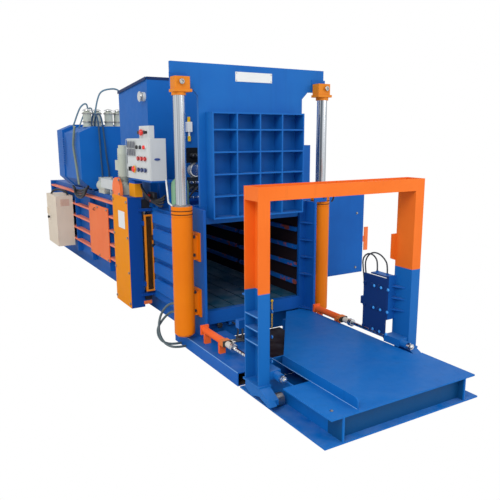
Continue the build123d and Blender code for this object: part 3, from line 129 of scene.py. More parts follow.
class ShaderGraph:
    """A material's or node group's tree, with short calls for the nodes used here."""

    def __init__(self, tree: bpy.types.NodeTree) -> None:
        """Keep the tree that nodes are added to."""
        self.tree = tree

    def node(self, kind: str, **settings: object) -> bpy.types.Node:
        """Add a node and set its properties.

        Args:
            kind: The node's type name.
            settings: Properties to set on it.

        Returns:
            The new node.
        """
        made = self.tree.nodes.new(kind)
        for name, value in settings.items():
            setattr(made, name, value)
        return made

    def link(self, source: Socket, target: Socket) -> None:
        """Join two sockets."""
        self.tree.links.new(source, target)

    def place(self) -> Socket:
        """Object coordinates, in metres."""
        return self.node("ShaderNodeTexCoord").outputs["Object"]

    def axes(self, vector: Socket) -> list[Socket]:
        """Split a vector.

        Args:
            vector: The vector to split.

        Returns:
            Its X, Y and Z.
        """
        parts = self.node("ShaderNodeSeparateXYZ")
        self.link(vector, parts.inputs[0])
        return [parts.outputs[letter] for letter in "XYZ"]

    def scaled(self, vector: Socket, factors: Point) -> Socket:
        """Multiply a vector axis by axis.

        Args:
            vector: The vector to scale.
            factors: Factor of each axis; a small one draws the noise out along it.

        Returns:
            The scaled vector.
        """
        made = self.node("ShaderNodeMapping")
        made.inputs["Scale"].default_value = factors
        self.link(vector, made.inputs["Vector"])
        return made.outputs[0]

    def noise(self, place: Socket, scale: float, detail: float) -> Socket:
        """Add a noise texture.

        Args:
            place: Where the noise is read.
            scale: Features per metre.
            detail: Number of octaves.

        Returns:
            The noise value, near a half on average.
        """
        texture = self.node("ShaderNodeTexNoise")
        for name, value in (("Scale", scale), ("Detail", detail), ("Roughness", 0.6)):
            texture.inputs[name].default_value = value
        self.link(place, texture.inputs["Vector"])
        return texture.outputs["Fac"]

    def between(self, value: Socket, low: float, high: float) -> Socket:
        """Stretch a value and keep it from zero to one.

        Args:
            value: The value to stretch.
            low: The value that becomes zero.
            high: The value that becomes one.

        Returns:
            The stretched value.
        """
        stretch = self.node("ShaderNodeMapRange", clamp=True)
        stretch.inputs["From Min"].default_value = low
        stretch.inputs["From Max"].default_value = high
        self.link(value, stretch.inputs["Value"])
        return stretch.outputs["Result"]

    def patches(self, place: Socket, kind: Patches) -> Socket:
        """Noise of the given kind, from zero to one."""
        return self.between(self.noise(place, kind.scale, kind.detail), kind.low, kind.high)

    def math(self, operation: str, first: Socket | float, second: Socket | float = 0.0) -> Socket:
        """Add a sum, product or comparison.

        Args:
            operation: Blender's name of the operation.
            first: A socket or a number.
            second: A socket or a number.

        Returns:
            The result.
        """
        made = self.node("ShaderNodeMath", operation=operation)
        for place, term in enumerate((first, second)):
            if isinstance(term, (int, float)):
                made.inputs[place].default_value = term
            else:
                self.link(term, made.inputs[place])
        return made.outputs[0]

    def product(self, first: Socket, *others: Socket | float) -> Socket:
        """Multiply values.

        Args:
            first: The first value.
            others: What it is multiplied by, one after the other.

        Returns:
            The product.
        """
        for other in others:
            first = self.math("MULTIPLY", first, other)
        return first

    def within(self, value: Socket, low: float, high: float) -> Socket:
        """One where the value lies between low and high, and zero elsewhere."""
        return self.product(self.math("GREATER_THAN", value, low),
                            self.math("LESS_THAN", value, high))

    def mix(
        self, factor: Socket, first: Socket | Sequence[float], second: Socket | Sequence[float]
    ) -> Socket:
        """Mix two colours.

        Args:
            factor: Zero gives the first colour and one the second.
            first: A socket or a colour.
            second: A socket or a colour.

        Returns:
            The mixed colour.
        """
        made = self.node("ShaderNodeMix", data_type="RGBA")
        for place, term in ((0, factor), (6, first), (7, second)):
            if isinstance(term, Socket):
                self.link(term, made.inputs[place])
            else:
                made.inputs[place].default_value = term
        return made.outputs[2]


@dataclass(frozen=True)
class SprayedPaint:
    """The shared node group of sprayed paint on heavy plate.

    Broad clouds shift the colour a little, rain marks run down, dust lies on faces that look
    up, and small chips show on a share of the surface.
    """

    clouds: Patches = Patches(1.3, 3.0, 0.35, 0.65)
    rain: Patches = Patches(2.0, 5.0, 0.55, 0.8)
    rain_stretch: Point = (9.0, 9.0, 0.7)
    rain_value: float = 0.72
    upward: tuple[float, float] = (0.6, 1.0)
    dust: Patches = Patches(5.0, 6.0, 0.4, 0.75)
    dust_colour: Rgb = (196, 200, 206)
    dust_roughness: float = 0.3
    specks: Patches = Patches(60.0, 3.0, 0.72, 0.76)
    chipped_areas: Patches = Patches(3.0, 2.0, 0.55, 0.7)
    chip_colour: Rgb = (120, 112, 104)
    peel: tuple[float, float] = (160.0, 2.0)
    smear: tuple[float, float] = (14.0, 4.0)
    smear_roughness: float = 0.18

    @cache
    def tree(self) -> bpy.types.NodeTree:
        """Build the group once.

        Returns:
            A group that takes a colour, its shade and amounts, and gives colour, roughness
            and height.
        """
        tree = bpy.data.node_groups.new("sprayed_paint", "ShaderNodeTree")
        for way, names in (("INPUT", ("Colour", "Shade", "Wear", "Dust", "Gloss")),
                           ("OUTPUT", ("Colour", "Roughness", "Height"))):
            for name in names:
                kind = "Color" if name in ("Colour", "Shade") else "Float"
                tree.interface.new_socket(name, in_out=way, socket_type=f"NodeSocket{kind}")
        graph = ShaderGraph(tree)
        given = graph.node("NodeGroupInput").outputs
        result = graph.node("NodeGroupOutput").inputs
        place = graph.place()
        body = graph.mix(graph.patches(place, self.clouds), given["Colour"], given["Shade"])
        rain = graph.patches(graph.scaled(place, self.rain_stretch), self.rain)
        darker = graph.node("ShaderNodeHueSaturation")
        darker.inputs["Value"].default_value = self.rain_value
        graph.link(body, darker.inputs["Color"])
        marked = graph.mix(graph.product(rain, given["Wear"]), body, darker.outputs[0])
        normal = graph.node("ShaderNodeNewGeometry").outputs["Normal"]
        facing_up = graph.between(graph.axes(normal)[2], *self.upward)
        dust = graph.product(facing_up, graph.patches(place, self.dust), given["Dust"])
        dusty = graph.mix(dust, marked, linear(*self.dust_colour))
        chips = graph.product(graph.patches(place, self.specks),
                              graph.patches(place, self.chipped_areas), given["Wear"])
        graph.link(graph.mix(chips, dusty, linear(*self.chip_colour)), result["Colour"])
        smear = graph.product(graph.noise(place, *self.smear), self.smear_roughness)
        rough = graph.math("ADD", given["Gloss"], smear)
        graph.link(graph.math("ADD", rough, graph.product(dust, self.dust_roughness)),
                   result["Roughness"])
        graph.link(graph.noise(place, *self.peel), result["Height"])
        return tree


@dataclass(frozen=True)
class Finish:
    """A named material, made once and shared by all pieces that have it."""

    name: str

    @cache
    def material(self) -> bpy.types.Material:
        """Build the material the first time that it is asked for.

        Returns:
            The Blender material.
        """
        made = bpy.data.materials.new(self.name)
        made.use_nodes = True
        made.node_tree.nodes.clear()
        graph = ShaderGraph(made.node_tree)
        surface = graph.node("ShaderNodeBsdfPrincipled")
        graph.link(surface.outputs[0], graph.node("ShaderNodeOutputMaterial").inputs[0])
        self.build(graph, surface)
        return made

    def build(self, graph: ShaderGraph, surface: bpy.types.Node) -> None:
        """Wire the shader of this finish into the Principled surface."""
        raise NotImplementedError

    @staticmethod
    def bump(
        graph: ShaderGraph, surface: bpy.types.Node, height: Socket, distance: float,
        strength: float,
    ) -> None:
        """Give the shader a bump.

        Args:
            graph: The material's tree.
            surface: The Principled shader.
            height: Height from zero to one.
            distance: Height of one, in metres.
            strength: Share of the bump that shows.
        """
        made = graph.node("ShaderNodeBump")
        made.inputs["Distance"].default_value = distance
        made.inputs["Strength"].default_value = strength
        graph.link(height, made.inputs["Height"])
        graph.link(made.outputs[0], surface.inputs["Normal"])


@dataclass(frozen=True)
class Paint(Finish):
    """Sprayed machine paint, with an optional second colour below a height."""

    colour: Rgb
    shade: Rgb
    gloss: float = 0.42
    wear: float = 0.35
    dust: float = 0.12
    below: tuple[Rgb, float] | None = None
    sheen: float = 0.16
    peel_bump: tuple[float, float] = (0.0004, 0.4)
    edge_noise: tuple[float, float] = (4.0, 2.0)
    edge_wave: float = 0.012
    edge_blur: float = 0.006

    def coat(self, graph: ShaderGraph, surface: bpy.types.Node) -> bpy.types.NodeInputs:
        """Add the shared paint group with this paint's values, and join it to the shader.

        Args:
            graph: The material's tree.
            surface: The Principled shader.

        Returns:
            The inputs of the group's node.
        """
        coat = graph.node("ShaderNodeGroup", node_tree=SprayedPaint().tree())
        for name, value in (("Colour", linear(*self.colour)), ("Shade", linear(*self.shade)),
                            ("Wear", self.wear), ("Dust", self.dust), ("Gloss", self.gloss)):
            coat.inputs[name].default_value = value
        graph.link(coat.outputs["Colour"], surface.inputs["Base Color"])
        graph.link(coat.outputs["Roughness"], surface.inputs["Roughness"])
        surface.inputs["Specular IOR Level"].default_value = self.sheen
        self.bump(graph, surface, coat.outputs["Height"], *self.peel_bump)
        return coat.inputs

    def build(self, graph: ShaderGraph, surface: bpy.types.Node) -> None:
        """Wire the paint, with its second colour below a slightly wavy edge.

        Args:
            graph: The material's tree.
            surface: The Principled shader.
        """
        coat = self.coat(graph, surface)
        if self.below is None:
            return
        lower, level = self.below
        place = graph.place()
        wave = graph.product(graph.noise(place, *self.edge_noise), self.edge_wave)
        height = graph.math("ADD", graph.axes(place)[2], wave)
        above = graph.between(height, level, level + self.edge_blur)
        for name, colour in (("Colour", self.colour), ("Shade", self.shade)):
            graph.link(graph.mix(above, linear(*lower), linear(*colour)), coat[name])


@dataclass(frozen=True)
class Layered(Paint):
    """Paint in bands across one axis; each band is where it starts and its colour."""

    gloss: float = 0.32
    wear: float = 0.3
    sheen: float = 0.03
    axis: Axis = Axis.Z
    bands: tuple[tuple[float, Rgb], ...] = ()

    def build(self, graph: ShaderGraph, surface: bpy.types.Node) -> None:
        """Wire the bands: from each start on, its colour replaces the one before.

        Args:
            graph: The material's tree.
            surface: The Principled shader.
        """
        coat = self.coat(graph, surface)
        along = graph.axes(graph.place())["XYZ".index(self.axis.name)]
        colour = linear(*self.colour)
        for start, paint in self.bands:
            colour = graph.mix(graph.math("GREATER_THAN", along, start), colour, linear(*paint))
        for name in ("Colour", "Shade"):
            graph.link(colour, coat[name])


@dataclass(frozen=True)
class Boxed(Paint):
    """Paint with a second colour inside boxes, on one side or on both; on the side beams, bale
    plates and platform this colour is painted shade.
    """

    inside: Rgb = (0, 0, 0)
    boxes: tuple[Box, ...] = ()
    both_sides: bool = False

    def build(self, graph: ShaderGraph, surface: bpy.types.Node) -> None:
        """Wire the boxes: a point is inside where it is between both corners on each axis.

        Args:
            graph: The material's tree.
            surface: The Principled shader.
        """
        coat = self.coat(graph, surface)
        axes = graph.axes(graph.place())
        if self.both_sides:
            axes[0] = graph.math("ABSOLUTE", axes[0])
        share: Socket | float = 0.0
        for low, high in self.boxes:
            held: Socket | float = 1.0
            for value, least, most in zip(axes, low, high):
                held = graph.math("MULTIPLY", graph.within(value, least, most), held)
            share = graph.math("MAXIMUM", held, share)
        for name, colour in (("Colour", self.colour), ("Shade", self.shade)):
            graph.link(graph.mix(share, linear(*colour), linear(*self.inside)), coat[name])


@dataclass(frozen=True)
class Barred(Paint):
    """Paint of the chamber walls: salmon bars and painted shade in the recesses outside, painted
    shade in the recesses and worn rails inside.
    """

    bar: Rgb = (244, 134, 104)
    # painted shade: near-black colours in the recesses between the bars outside and between the
    # rails inside
    outer_recess_shade: Rgb = (20, 44, 84)
    inner_recess_shade: Rgb = (34, 26, 30)
    worn_rail: Rgb = (150, 74, 62)
    first_bar: float = 0.387
    pitch: float = 0.19
    thickness: float = 0.026
    behind: float = 1.84
    outer_skin: float = 0.592
    inner_skin: float = 0.5695
    inner_depth: float = 0.002
    skin_back: float = 0.5835
    skin_reach: float = 0.003
    wear_patches: Patches = Patches(7.0, 3.0, 0.56, 0.62)

    def build(self, graph: ShaderGraph, surface: bpy.types.Node) -> None:
        """Wire bars, painted recess shade and worn rails, which depend on the distance from the
        middle plane.

        A bar shows where the height above the first one, modulo the pitch, is less than the
        thickness. The painted shade of the inner and outer recesses lies in thin layers at a
        given distance.

        Args:
            graph: The material's tree.
            surface: The Principled shader.
        """
        coat = self.coat(graph, surface)
        place = graph.place()
        across, along, up = graph.axes(place)
        side = graph.math("ABSOLUTE", across)
        back = graph.math("GREATER_THAN", along, self.behind)
        height = graph.math("SUBTRACT", up, self.first_bar)
        beat = graph.math("LESS_THAN", graph.math("FLOORED_MODULO", height, self.pitch),
                          self.thickness)
        bars = graph.product(beat, graph.math("GREATER_THAN", height, 0.0), back,
                             graph.math("GREATER_THAN", side, self.outer_skin))
        inner_shaded = graph.within(side, self.inner_skin, self.inner_skin + self.inner_depth)
        outer_shaded = graph.within(side, self.skin_back - self.skin_reach,
                            self.skin_back + self.skin_reach)
        rail = graph.product(graph.math("LESS_THAN", side, self.inner_skin),
                             graph.patches(place, self.wear_patches))
        colour = linear(*self.colour)
        for share, paint in ((outer_shaded, self.outer_recess_shade), (rail, self.worn_rail), (inner_shaded, self.inner_recess_shade),
                             (bars, self.bar)):
            colour = graph.mix(share, colour, linear(*paint))
        for name in ("Colour", "Shade"):
            graph.link(colour, coat[name])


@dataclass(frozen=True)
class Metal(Finish):
    """Bare or plated metal with a fine brushed grain and dull marks."""

    colour: Rgb
    roughness: float
    grime: float = 0.2
    marks: Patches = Patches(18.0, 6.0, 0.52, 0.72)
    mark_colour: Rgb = (58, 52, 46)
    mark_roughness: float = 0.4
    grain: tuple[float, float] = (120.0, 3.0)
    grain_roughness: float = 0.12
    grain_bump: tuple[float, float] = (0.0002, 0.3)

    def build(self, graph: ShaderGraph, surface: bpy.types.Node) -> None:
        """Wire the metal: grain and marks add to its roughness.

        Args:
            graph: The material's tree.
            surface: The Principled shader.
        """
        place = graph.place()
        dull = graph.product(graph.patches(place, self.marks), self.grime)
        graph.link(graph.mix(dull, linear(*self.colour), linear(*self.mark_colour)),
                   surface.inputs["Base Color"])
        grain = graph.noise(place, *self.grain)
        rough = graph.math("ADD", graph.product(grain, self.grain_roughness),
                           self.roughness - self.grain_roughness / 2)
        graph.link(graph.math("ADD", rough, graph.product(dull, self.mark_roughness)),
                   surface.inputs["Roughness"])
        surface.inputs["Metallic"].default_value = 1.0
        self.bump(graph, surface, grain, *self.grain_bump)


@dataclass(frozen=True)
class ReflectionStreaked(Metal):
    """Polished chrome with painted reflections: dark and bright streaks along Z stand for the
    surroundings mirrored round the rods.
    """

    flat: Point = (1.0, 1.0, 0.0)
    broad: Patches = Patches(30.0, 1.0, 0.34, 0.5)
    fine: Patches = Patches(130.0, 2.0, 0.35, 0.65)
    fine_share: float = 0.35
    fine_roughness: float = 0.08
    # colours of the painted reflections: dark bands and bright bands mixed into the chrome's base
    # colour
    dark: Rgb = (84, 92, 100)
    pale: Rgb = (150, 158, 166)

    def build(self, graph: ShaderGraph, surface: bpy.types.Node) -> None:
        """Wire the painted reflections: the noise takes no height, so the streaks are the same
        all the way up.

        Args:
            graph: The material's tree.
            surface: The Principled shader.
        """
        place = graph.scaled(graph.place(), self.flat)
        fine = graph.patches(place, self.fine)
        base = graph.mix(graph.patches(place, self.broad), linear(*self.dark),
                         linear(*self.colour))
        graph.link(graph.mix(graph.product(fine, self.fine_share), base, linear(*self.pale)),
                   surface.inputs["Base Color"])
        rough = graph.math("ADD", graph.product(fine, self.fine_roughness), self.roughness)
        graph.link(rough, surface.inputs["Roughness"])
        surface.inputs["Metallic"].default_value = 1.0


@dataclass(frozen=True)
class Plastic(Finish):
    """Moulded plastic or rubber with faint patches and grain."""

    colour: Rgb
    roughness: float
    patch: Patches = Patches(8.0, 3.0, 0.35, 0.65)
    patch_roughness: float = 0.1
    lighter: tuple[float, int] = (1.15, 4)
    grain: tuple[float, float] = (200.0, 2.0)
    grain_bump: tuple[float, float] = (0.0002, 0.5)

    def build(self, graph: ShaderGraph, surface: bpy.types.Node) -> None:
        """Wire the plastic: patches are a little lighter and rougher.

        Args:
            graph: The material's tree.
            surface: The Principled shader.
        """
        place = graph.place()
        gain, lift = self.lighter
        light = (min(255, int(part * gain) + lift) for part in self.colour)
        patch = graph.patches(place, self.patch)
        graph.link(graph.mix(patch, linear(*self.colour), linear(*light)),
                   surface.inputs["Base Color"])
        rough = graph.math("ADD", graph.product(patch, self.patch_roughness), self.roughness)
        graph.link(rough, surface.inputs["Roughness"])
        self.bump(graph, surface, graph.noise(place, *self.grain), *self.grain_bump)


@dataclass(frozen=True)
class Palette:
    """All finishes of the machine."""

    blue: Finish = Paint("blue_paint", (14, 94, 176), (12, 84, 164))
    gate: Finish = Paint("gate_paint", (20, 102, 178), (16, 92, 170))
    frame: Finish = Paint("frame_paint", (16, 90, 172), (14, 80, 160))
    deck: Finish = Paint("deck_paint", (8, 104, 182), (8, 96, 174), wear=0.5, dust=0.03)
    hopper: Finish = Paint("hopper_paint", (10, 96, 176), (10, 90, 168), wear=0.2)
    navy: Finish = Paint("navy_paint", (22, 48, 96), (18, 40, 84))
    # painted highlight: light blue lines stand for edges that catch the light
    bright: Finish = Paint("painted_edge_highlight", (128, 176, 226), (112, 162, 216), wear=0.1)
    chamber: Finish = Paint("chamber_paint", (22, 78, 104), (16, 58, 86), wear=1.0, dust=0.2)
    # chamber walls, with painted shade in their recesses
    rails: Finish = Barred("wall_paint", (14, 92, 174), (12, 80, 160))
    portal: Finish = Paint("portal_paint", (236, 114, 34), (230, 106, 28),
                           below=((18, 100, 174), 0.885))
    amber: Finish = Paint("amber_paint", (226, 120, 0), (220, 112, 0), wear=0.15)
    bracket: Finish = Paint("bracket_paint", (220, 132, 34), (212, 122, 28), wear=0.2)
    coral: Finish = Paint("coral_paint", (244, 124, 66), (240, 114, 56), wear=0.2)
    puller: Finish = Layered(
        "puller_cylinder_paint", (206, 200, 188), (206, 200, 188), axis=Axis.Y,
        bands=((-0.622, (60, 60, 56)), (-0.602, (214, 120, 60)), (-0.545, (240, 104, 50))))
    feeder: Finish = Layered("feeder_paint", (234, 152, 30), (234, 152, 30),
                             bands=((1.502, (24, 84, 172)),))
    housing: Finish = Layered("tie_housing_paint", (232, 140, 0), (232, 140, 0), axis=Axis.X,
                              bands=((-0.8644, (20, 72, 152)),))
    guard: Finish = Boxed("guard_paint", (238, 140, 34), (230, 130, 26), inside=(66, 44, 26),
                          boxes=(((-0.681, 1.2, 0.304), (-0.621, 1.23, 1.141)),
                                 ((-0.62, 1.1, 0.87), (-0.6, 1.2051, 0.93))))
    valves: Finish = Layered(
        "valve_paint", (34, 104, 186), (34, 104, 186),
        bands=((1.4, (46, 52, 58)), (1.56, (178, 180, 180)), (1.72, (30, 32, 36)),
               (1.95, (224, 226, 224))))
    tank: Finish = Paint("tank_paint", (14, 100, 182), (12, 94, 176), wear=0.2)
    # painted shade: dark brown where the top flanges shade the webs and bottom flanges, and on
    # the low plate under the middle of the machine
    beam: Finish = Boxed("beam_paint", (14, 96, 180), (12, 88, 170), inside=(44, 30, 26),
                         boxes=(((0.6075, -0.9735, 0.0075), (0.7465, 0.4, 0.1085)),
                                ((-0.1, -2.2, -0.01), (0.349, 0.2, 0.0095))),
                         both_sides=True)
    # painted shade: the inward faces of the bale plates are painted darker for the shadow on them
    plates: Finish = Boxed("bale_plate_paint", (20, 98, 176), (18, 90, 168),
                           inside=(20, 54, 112), both_sides=True,
                           boxes=(((0.6, -1.4, 0.2), (0.634, -0.8, 0.9)),))
    rust: Finish = Paint("rust_paint", (62, 38, 32), (38, 24, 24), wear=1.0, dust=0.0)
    pale: Finish = Paint("pale_paint", (208, 211, 210), (199, 202, 201), wear=0.2)
    motor: Finish = Paint("motor_paint", (196, 200, 188), (182, 188, 174), wear=0.3)
    # painted shade: the recessed front face of the platform between its webs is painted darker
    platform: Finish = Boxed("platform_paint", (8, 104, 182), (8, 96, 174),
                             inside=(10, 74, 124),
                             boxes=(((-0.69, -2.098, 0.0125), (0.69, -1.95, 0.187)),))
    legend: Finish = Paint("legend_paint", (104, 106, 114), (96, 98, 106), wear=0.1)
    blank: Finish = Paint("blank_plate", (226, 228, 226), (218, 220, 218), wear=0.1)
    beige: Finish = Paint("beige_paint", (232, 216, 194), (224, 208, 186), wear=0.2)
    salmon: Finish = Paint("salmon_paint", (214, 160, 140), (206, 150, 130), wear=0.1)
    yellow: Finish = Paint("yellow_paint", (230, 190, 40), (220, 176, 30), wear=0.2)
    accumulator: Finish = Paint("accumulator_paint", (132, 172, 140), (118, 160, 128))
    # rods' chrome, with painted reflections as streaks along Z
    chrome: Finish = ReflectionStreaked("chrome_painted_reflections", (232, 235, 238), 0.16)
    steel: Finish = Metal("bare_steel", (164, 162, 158), 0.36, 0.35)
    bright_steel: Finish = Metal("bright_steel", (214, 214, 212), 0.24, 0.1)
    brass: Finish = Metal("brass_fittings", (208, 184, 104), 0.3, 0.2)
    mesh: Finish = Metal("mesh_steel", (150, 104, 56), 0.45, 0.5)
    rubber: Finish = Plastic("hose_rubber", (52, 56, 60), 0.5)
    teal: Finish = Plastic("teal_hose", (24, 62, 92), 0.5)
    # lift hose colour: partly the hoses' own grey, partly a painted sheen that lightens it
    sheen: Finish = Plastic("grey_hose", (72, 86, 90), 0.35)
    sky: Finish = Plastic("blue_bolt_caps", (56, 140, 208), 0.35)
    slate: Finish = Plastic("slate_pipe", (74, 108, 128), 0.4)
    olive: Finish = Plastic("olive_hose", (112, 122, 106), 0.5)
    black: Finish = Plastic("black_plastic", (26, 26, 28), 0.45)
    red: Finish = Plastic("red_plastic", (206, 40, 32), 0.3)
    cobalt: Finish = Plastic("cobalt_plastic", (36, 60, 120), 0.35)
    white: Finish = Plastic("white_plastic", (225, 226, 222), 0.35)


PALETTE = Palette()


def oriented(axis: Axis, across: np.ndarray, up: np.ndarray, along: np.ndarray) -> np.ndarray:
    """Put three arrays of values in X, Y, Z order.

    Args:
        axis: The axis that the last array runs on.
        across: Values on the first of the other two axes.
        up: Values on the second of the other two axes.
        along: Values on the axis itself.

    Returns:
        Points with a last index of three.
    """
    order = {Axis.X: (along, across, up), Axis.Y: (across, along, up),
             Axis.Z: (across, up, along)}[axis]
    return np.stack(np.broadcast_arrays(*order), axis=-1)


def lattice(xs: Iterable[float], ys: Iterable[float], zs: Iterable[float]) -> np.ndarray:
    """Places of every combination of the given X, Y and Z, with Z changing fastest."""
    return np.stack(np.meshgrid(list(xs), list(ys), list(zs), indexing="ij"), -1).reshape(-1, 3)


def circled(centre: Point, radius: float, count: int, axis: Axis) -> np.ndarray:
    """Work out places round a circle: centre plus radius times cosine and sine of the turn.

    Args:
        centre: Middle of the circle.
        radius: Its radius.
        count: How many places.
        axis: The axis that the circle is square to.

    Returns:
        The places.
    """
    turn = np.arange(count) * 2.0 * np.pi / count
    flat = np.zeros(count)
    return np.array(centre) + oriented(axis, radius * np.cos(turn), radius * np.sin(turn), flat)


@dataclass(frozen=True)
class Turned:
    """A turned form: height and radius of each station about an axis.

    A facing of minus one runs the heights down the axis. Six points round give a hexagon.
    """

    profile: Profile
    axis: Axis
    facing: int = 1
    around: int = 24

    def at(self, places: Sequence[Point] | np.ndarray) -> np.ndarray:
        """Work out the surface at each place.

        The point at angle a of a station is the place, plus the station's height along the
        axis, plus its radius times the cosine and the sine of a across the axis.

        Args:
            places: Where each copy stands.

        Returns:
            Points by copy, station and place round.
        """
        height, radius = np.array(self.profile, dtype=float).T
        angle = np.linspace(0.0, 2.0 * np.pi, self.around, endpoint=False)
        rings = oriented(self.axis, radius[:, None] * np.cos(angle),
                         radius[:, None] * np.sin(angle), self.facing * height[:, None])
        return np.array(places, dtype=float)[:, None, None, :] + rings[None]


def prism(outline: Profile, axis: Axis, start: float, end: float, edge: float) -> np.ndarray:
    """Work out a plate with cut edges: its outline carried from start to end.

    At both ends the outline is drawn in towards its middle by the edge, and it has its full
    size an edge further in.

    Args:
        outline: Corners in the plane across the axis.
        axis: The axis that it is carried along.
        start: Where it starts.
        end: Where it ends.
        edge: Size of the cut edges.

    Returns:
        Points by station and corner.
    """
    corners = np.array(outline, dtype=float)
    middle = (corners.max(axis=0) + corners.min(axis=0)) / 2
    half = (corners.max(axis=0) - corners.min(axis=0)) / 2
    drawn = middle + (corners - middle) * (1 - edge / half)
    step = edge if end > start else -edge
    rows = np.stack([drawn, corners, corners, drawn])
    along = np.array([start, start + step, end - step, end])[:, None]
    return oriented(axis, rows[..., 0], rows[..., 1], along)


def block(low: Point, high: Point, edge: float = 0.002) -> np.ndarray:
    """Work out a block with cut edges: a prism along X whose outline has cut corners.

    Args:
        low: Lowest corner.
        high: Highest corner.
        edge: Size of the cuts.

    Returns:
        Points by station and corner.
    """
    (y0, z0), (y1, z1) = low[1:], high[1:]
    outline = ((y0 + edge, z0), (y1 - edge, z0), (y1, z0 + edge), (y1, z1 - edge),
               (y1 - edge, z1), (y0 + edge, z1), (y0, z1 - edge), (y0, z0 + edge))
    return prism(outline, Axis.X, low[0], high[0], edge)


def swept(
    path: np.ndarray, radius: float, around: int = 8, up: Point = ALONG_Z, closed: bool = False
) -> np.ndarray:
    """Work out a round bar along a path, or a ring of bar where the path is closed.

    Each ring is the path's point plus the radius times cosine a of the side direction and
    sine a of the lift direction, which are square to the path.

    Args:
        path: Points that the bar follows.
        radius: Radius of the bar.
        around: Points round the bar.
        up: A direction that the path never takes.
        closed: Whether the last point joins the first.

    Returns:
        Points by station and place round.
    """
    if closed:
        ahead = np.roll(path, -1, axis=0) - np.roll(path, 1, axis=0)
    else:
        ahead = np.gradient(path, axis=0)
    ahead /= np.linalg.norm(ahead, axis=1, keepdims=True)
    side = np.cross(ahead, np.array(up))
    side /= np.linalg.norm(side, axis=1, keepdims=True)
    lift = np.cross(side, ahead)
    angle = np.linspace(0.0, 2.0 * np.pi, around, endpoint=False)[None, :, None]
    return path[:, None] + radius * (np.cos(angle) * side[:, None]
                                     + np.sin(angle) * lift[:, None])


def straight(start: Point, end: Point, stations: int = 12) -> np.ndarray:
    """Points at equal steps from start to end."""
    share = np.linspace(0.0, 1.0, stations)[:, None]
    return np.array(start) * (1 - share) + np.array(end) * share


def bowed(start: Point, end: Point, bow: Point, stations: int = 40) -> np.ndarray:
    """Work out an arch: the straight line plus the bow times the sine of a half turn.

    The share along the line follows a cosine, so that both ends leave along the bow.

    Args:
        start: First point.
        end: Last point.
        bow: How far the middle stands from the straight line.
        stations: Number of points.

    Returns:
        The points.
    """
    turn = np.linspace(0.0, np.pi, stations)[:, None]
    share = (1 - np.cos(turn)) / 2
    return (np.array(start) * (1 - share) + np.array(end) * share
            + np.array(bow) * np.sin(turn))


def smoothed(line: Sequence[Point] | np.ndarray, steps: int = 6) -> np.ndarray:
    """Round a line of points by Catmull and Rom's cubic.

    Between two points the curve is their cubic with slopes of half the step over both
    neighbours; the end points count twice.

    Args:
        line: The points to run through.
        steps: Points in each span.

    Returns:
        The points of the curve.
    """
    points = np.array(line)
    ends = np.concatenate([points[:1], points, points[-1:]])
    share = np.linspace(0.0, 1.0, steps, endpoint=False)[None, :, None]
    a, b, c, d = (ends[k:len(ends) - 3 + k, None] for k in range(4))
    curve = b + share / 2 * (c - a + share * (2 * a - 5 * b + 4 * c - d
                                              + share * (3 * b - a - 3 * c + d)))
    return np.concatenate([curve.reshape(-1, 3), points[-1:]])


class Shell:
    """Lofted surfaces that together become one mesh piece."""

    def __init__(self, *grids: np.ndarray) -> None:
        """Start with the given surfaces.

        Args:
            grids: Surfaces to loft.
        """
        self._points: list[np.ndarray] = []
        self._faces: list[np.ndarray] = []
        self._count = 0
        for rings in grids:
            self.loft(rings)

    def loft(self, rings: np.ndarray, closed: bool = False) -> None:
        """Skin rings with quads: neighbours in a grid of stations by places round are joined.

        Args:
            rings: Points by station and place round, or one such grid for each copy.
            closed: Whether the last ring joins the first. If not, each end is closed by a
                ring drawn in to the middle of the end ring.
        """
        grids = rings if rings.ndim == 4 else rings[None]
        if not closed:
            middle = np.broadcast_to(grids.mean(axis=2, keepdims=True), grids.shape)
            grids = np.concatenate([middle[:, :1], grids, middle[:, -1:]], axis=1)
        here = np.arange(grids[..., 0].size).reshape(grids.shape[:3])
        ahead = np.roll(here, -1, axis=1)
        if not closed:
            here, ahead = here[:, :-1], ahead[:, :-1]
        corners = (here, np.roll(here, -1, axis=2), np.roll(ahead, -1, axis=2), ahead)
        self._faces.append(np.stack(corners, axis=-1).reshape(-1, 4) + self._count)
        self._points.append(grids.reshape(-1, 3))
        self._count += grids[..., 0].size

    def piece(self, name: str, finish: Finish, body: str = "frame") -> None:
        """Make the mesh piece.

        Args:
            name: The piece's name.
            finish: Its finish.
            body: The CAD body that it rides on.
        """
        data = bpy.data.meshes.new(name)
        faces = np.concatenate(self._faces)
        data.from_pydata(np.concatenate(self._points).tolist(), [], faces.tolist())
        shape = bmesh.new()
        shape.from_mesh(data)
        bmesh.ops.remove_doubles(shape, verts=shape.verts, dist=WELD_DISTANCE)
        bmesh.ops.recalc_face_normals(shape, faces=shape.faces)
        shape.to_mesh(data)
        shape.free()
        data.shade_smooth()
        data.set_sharp_from_angle(angle=SHARP_ANGLE)
        data.materials.append(finish.material())
        made = bpy.data.objects.new(name, data)
        bpy.context.scene.collection.objects.link(made)
        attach(made, body)
        log.info("%s: %d faces on %s", name, len(faces), body)


SIDES = (-1, 1)
HEX_BOLT = ((0.0, 0.017), (0.003, 0.017), (0.003, 0.013), (0.012, 0.013), (0.014, 0.011))


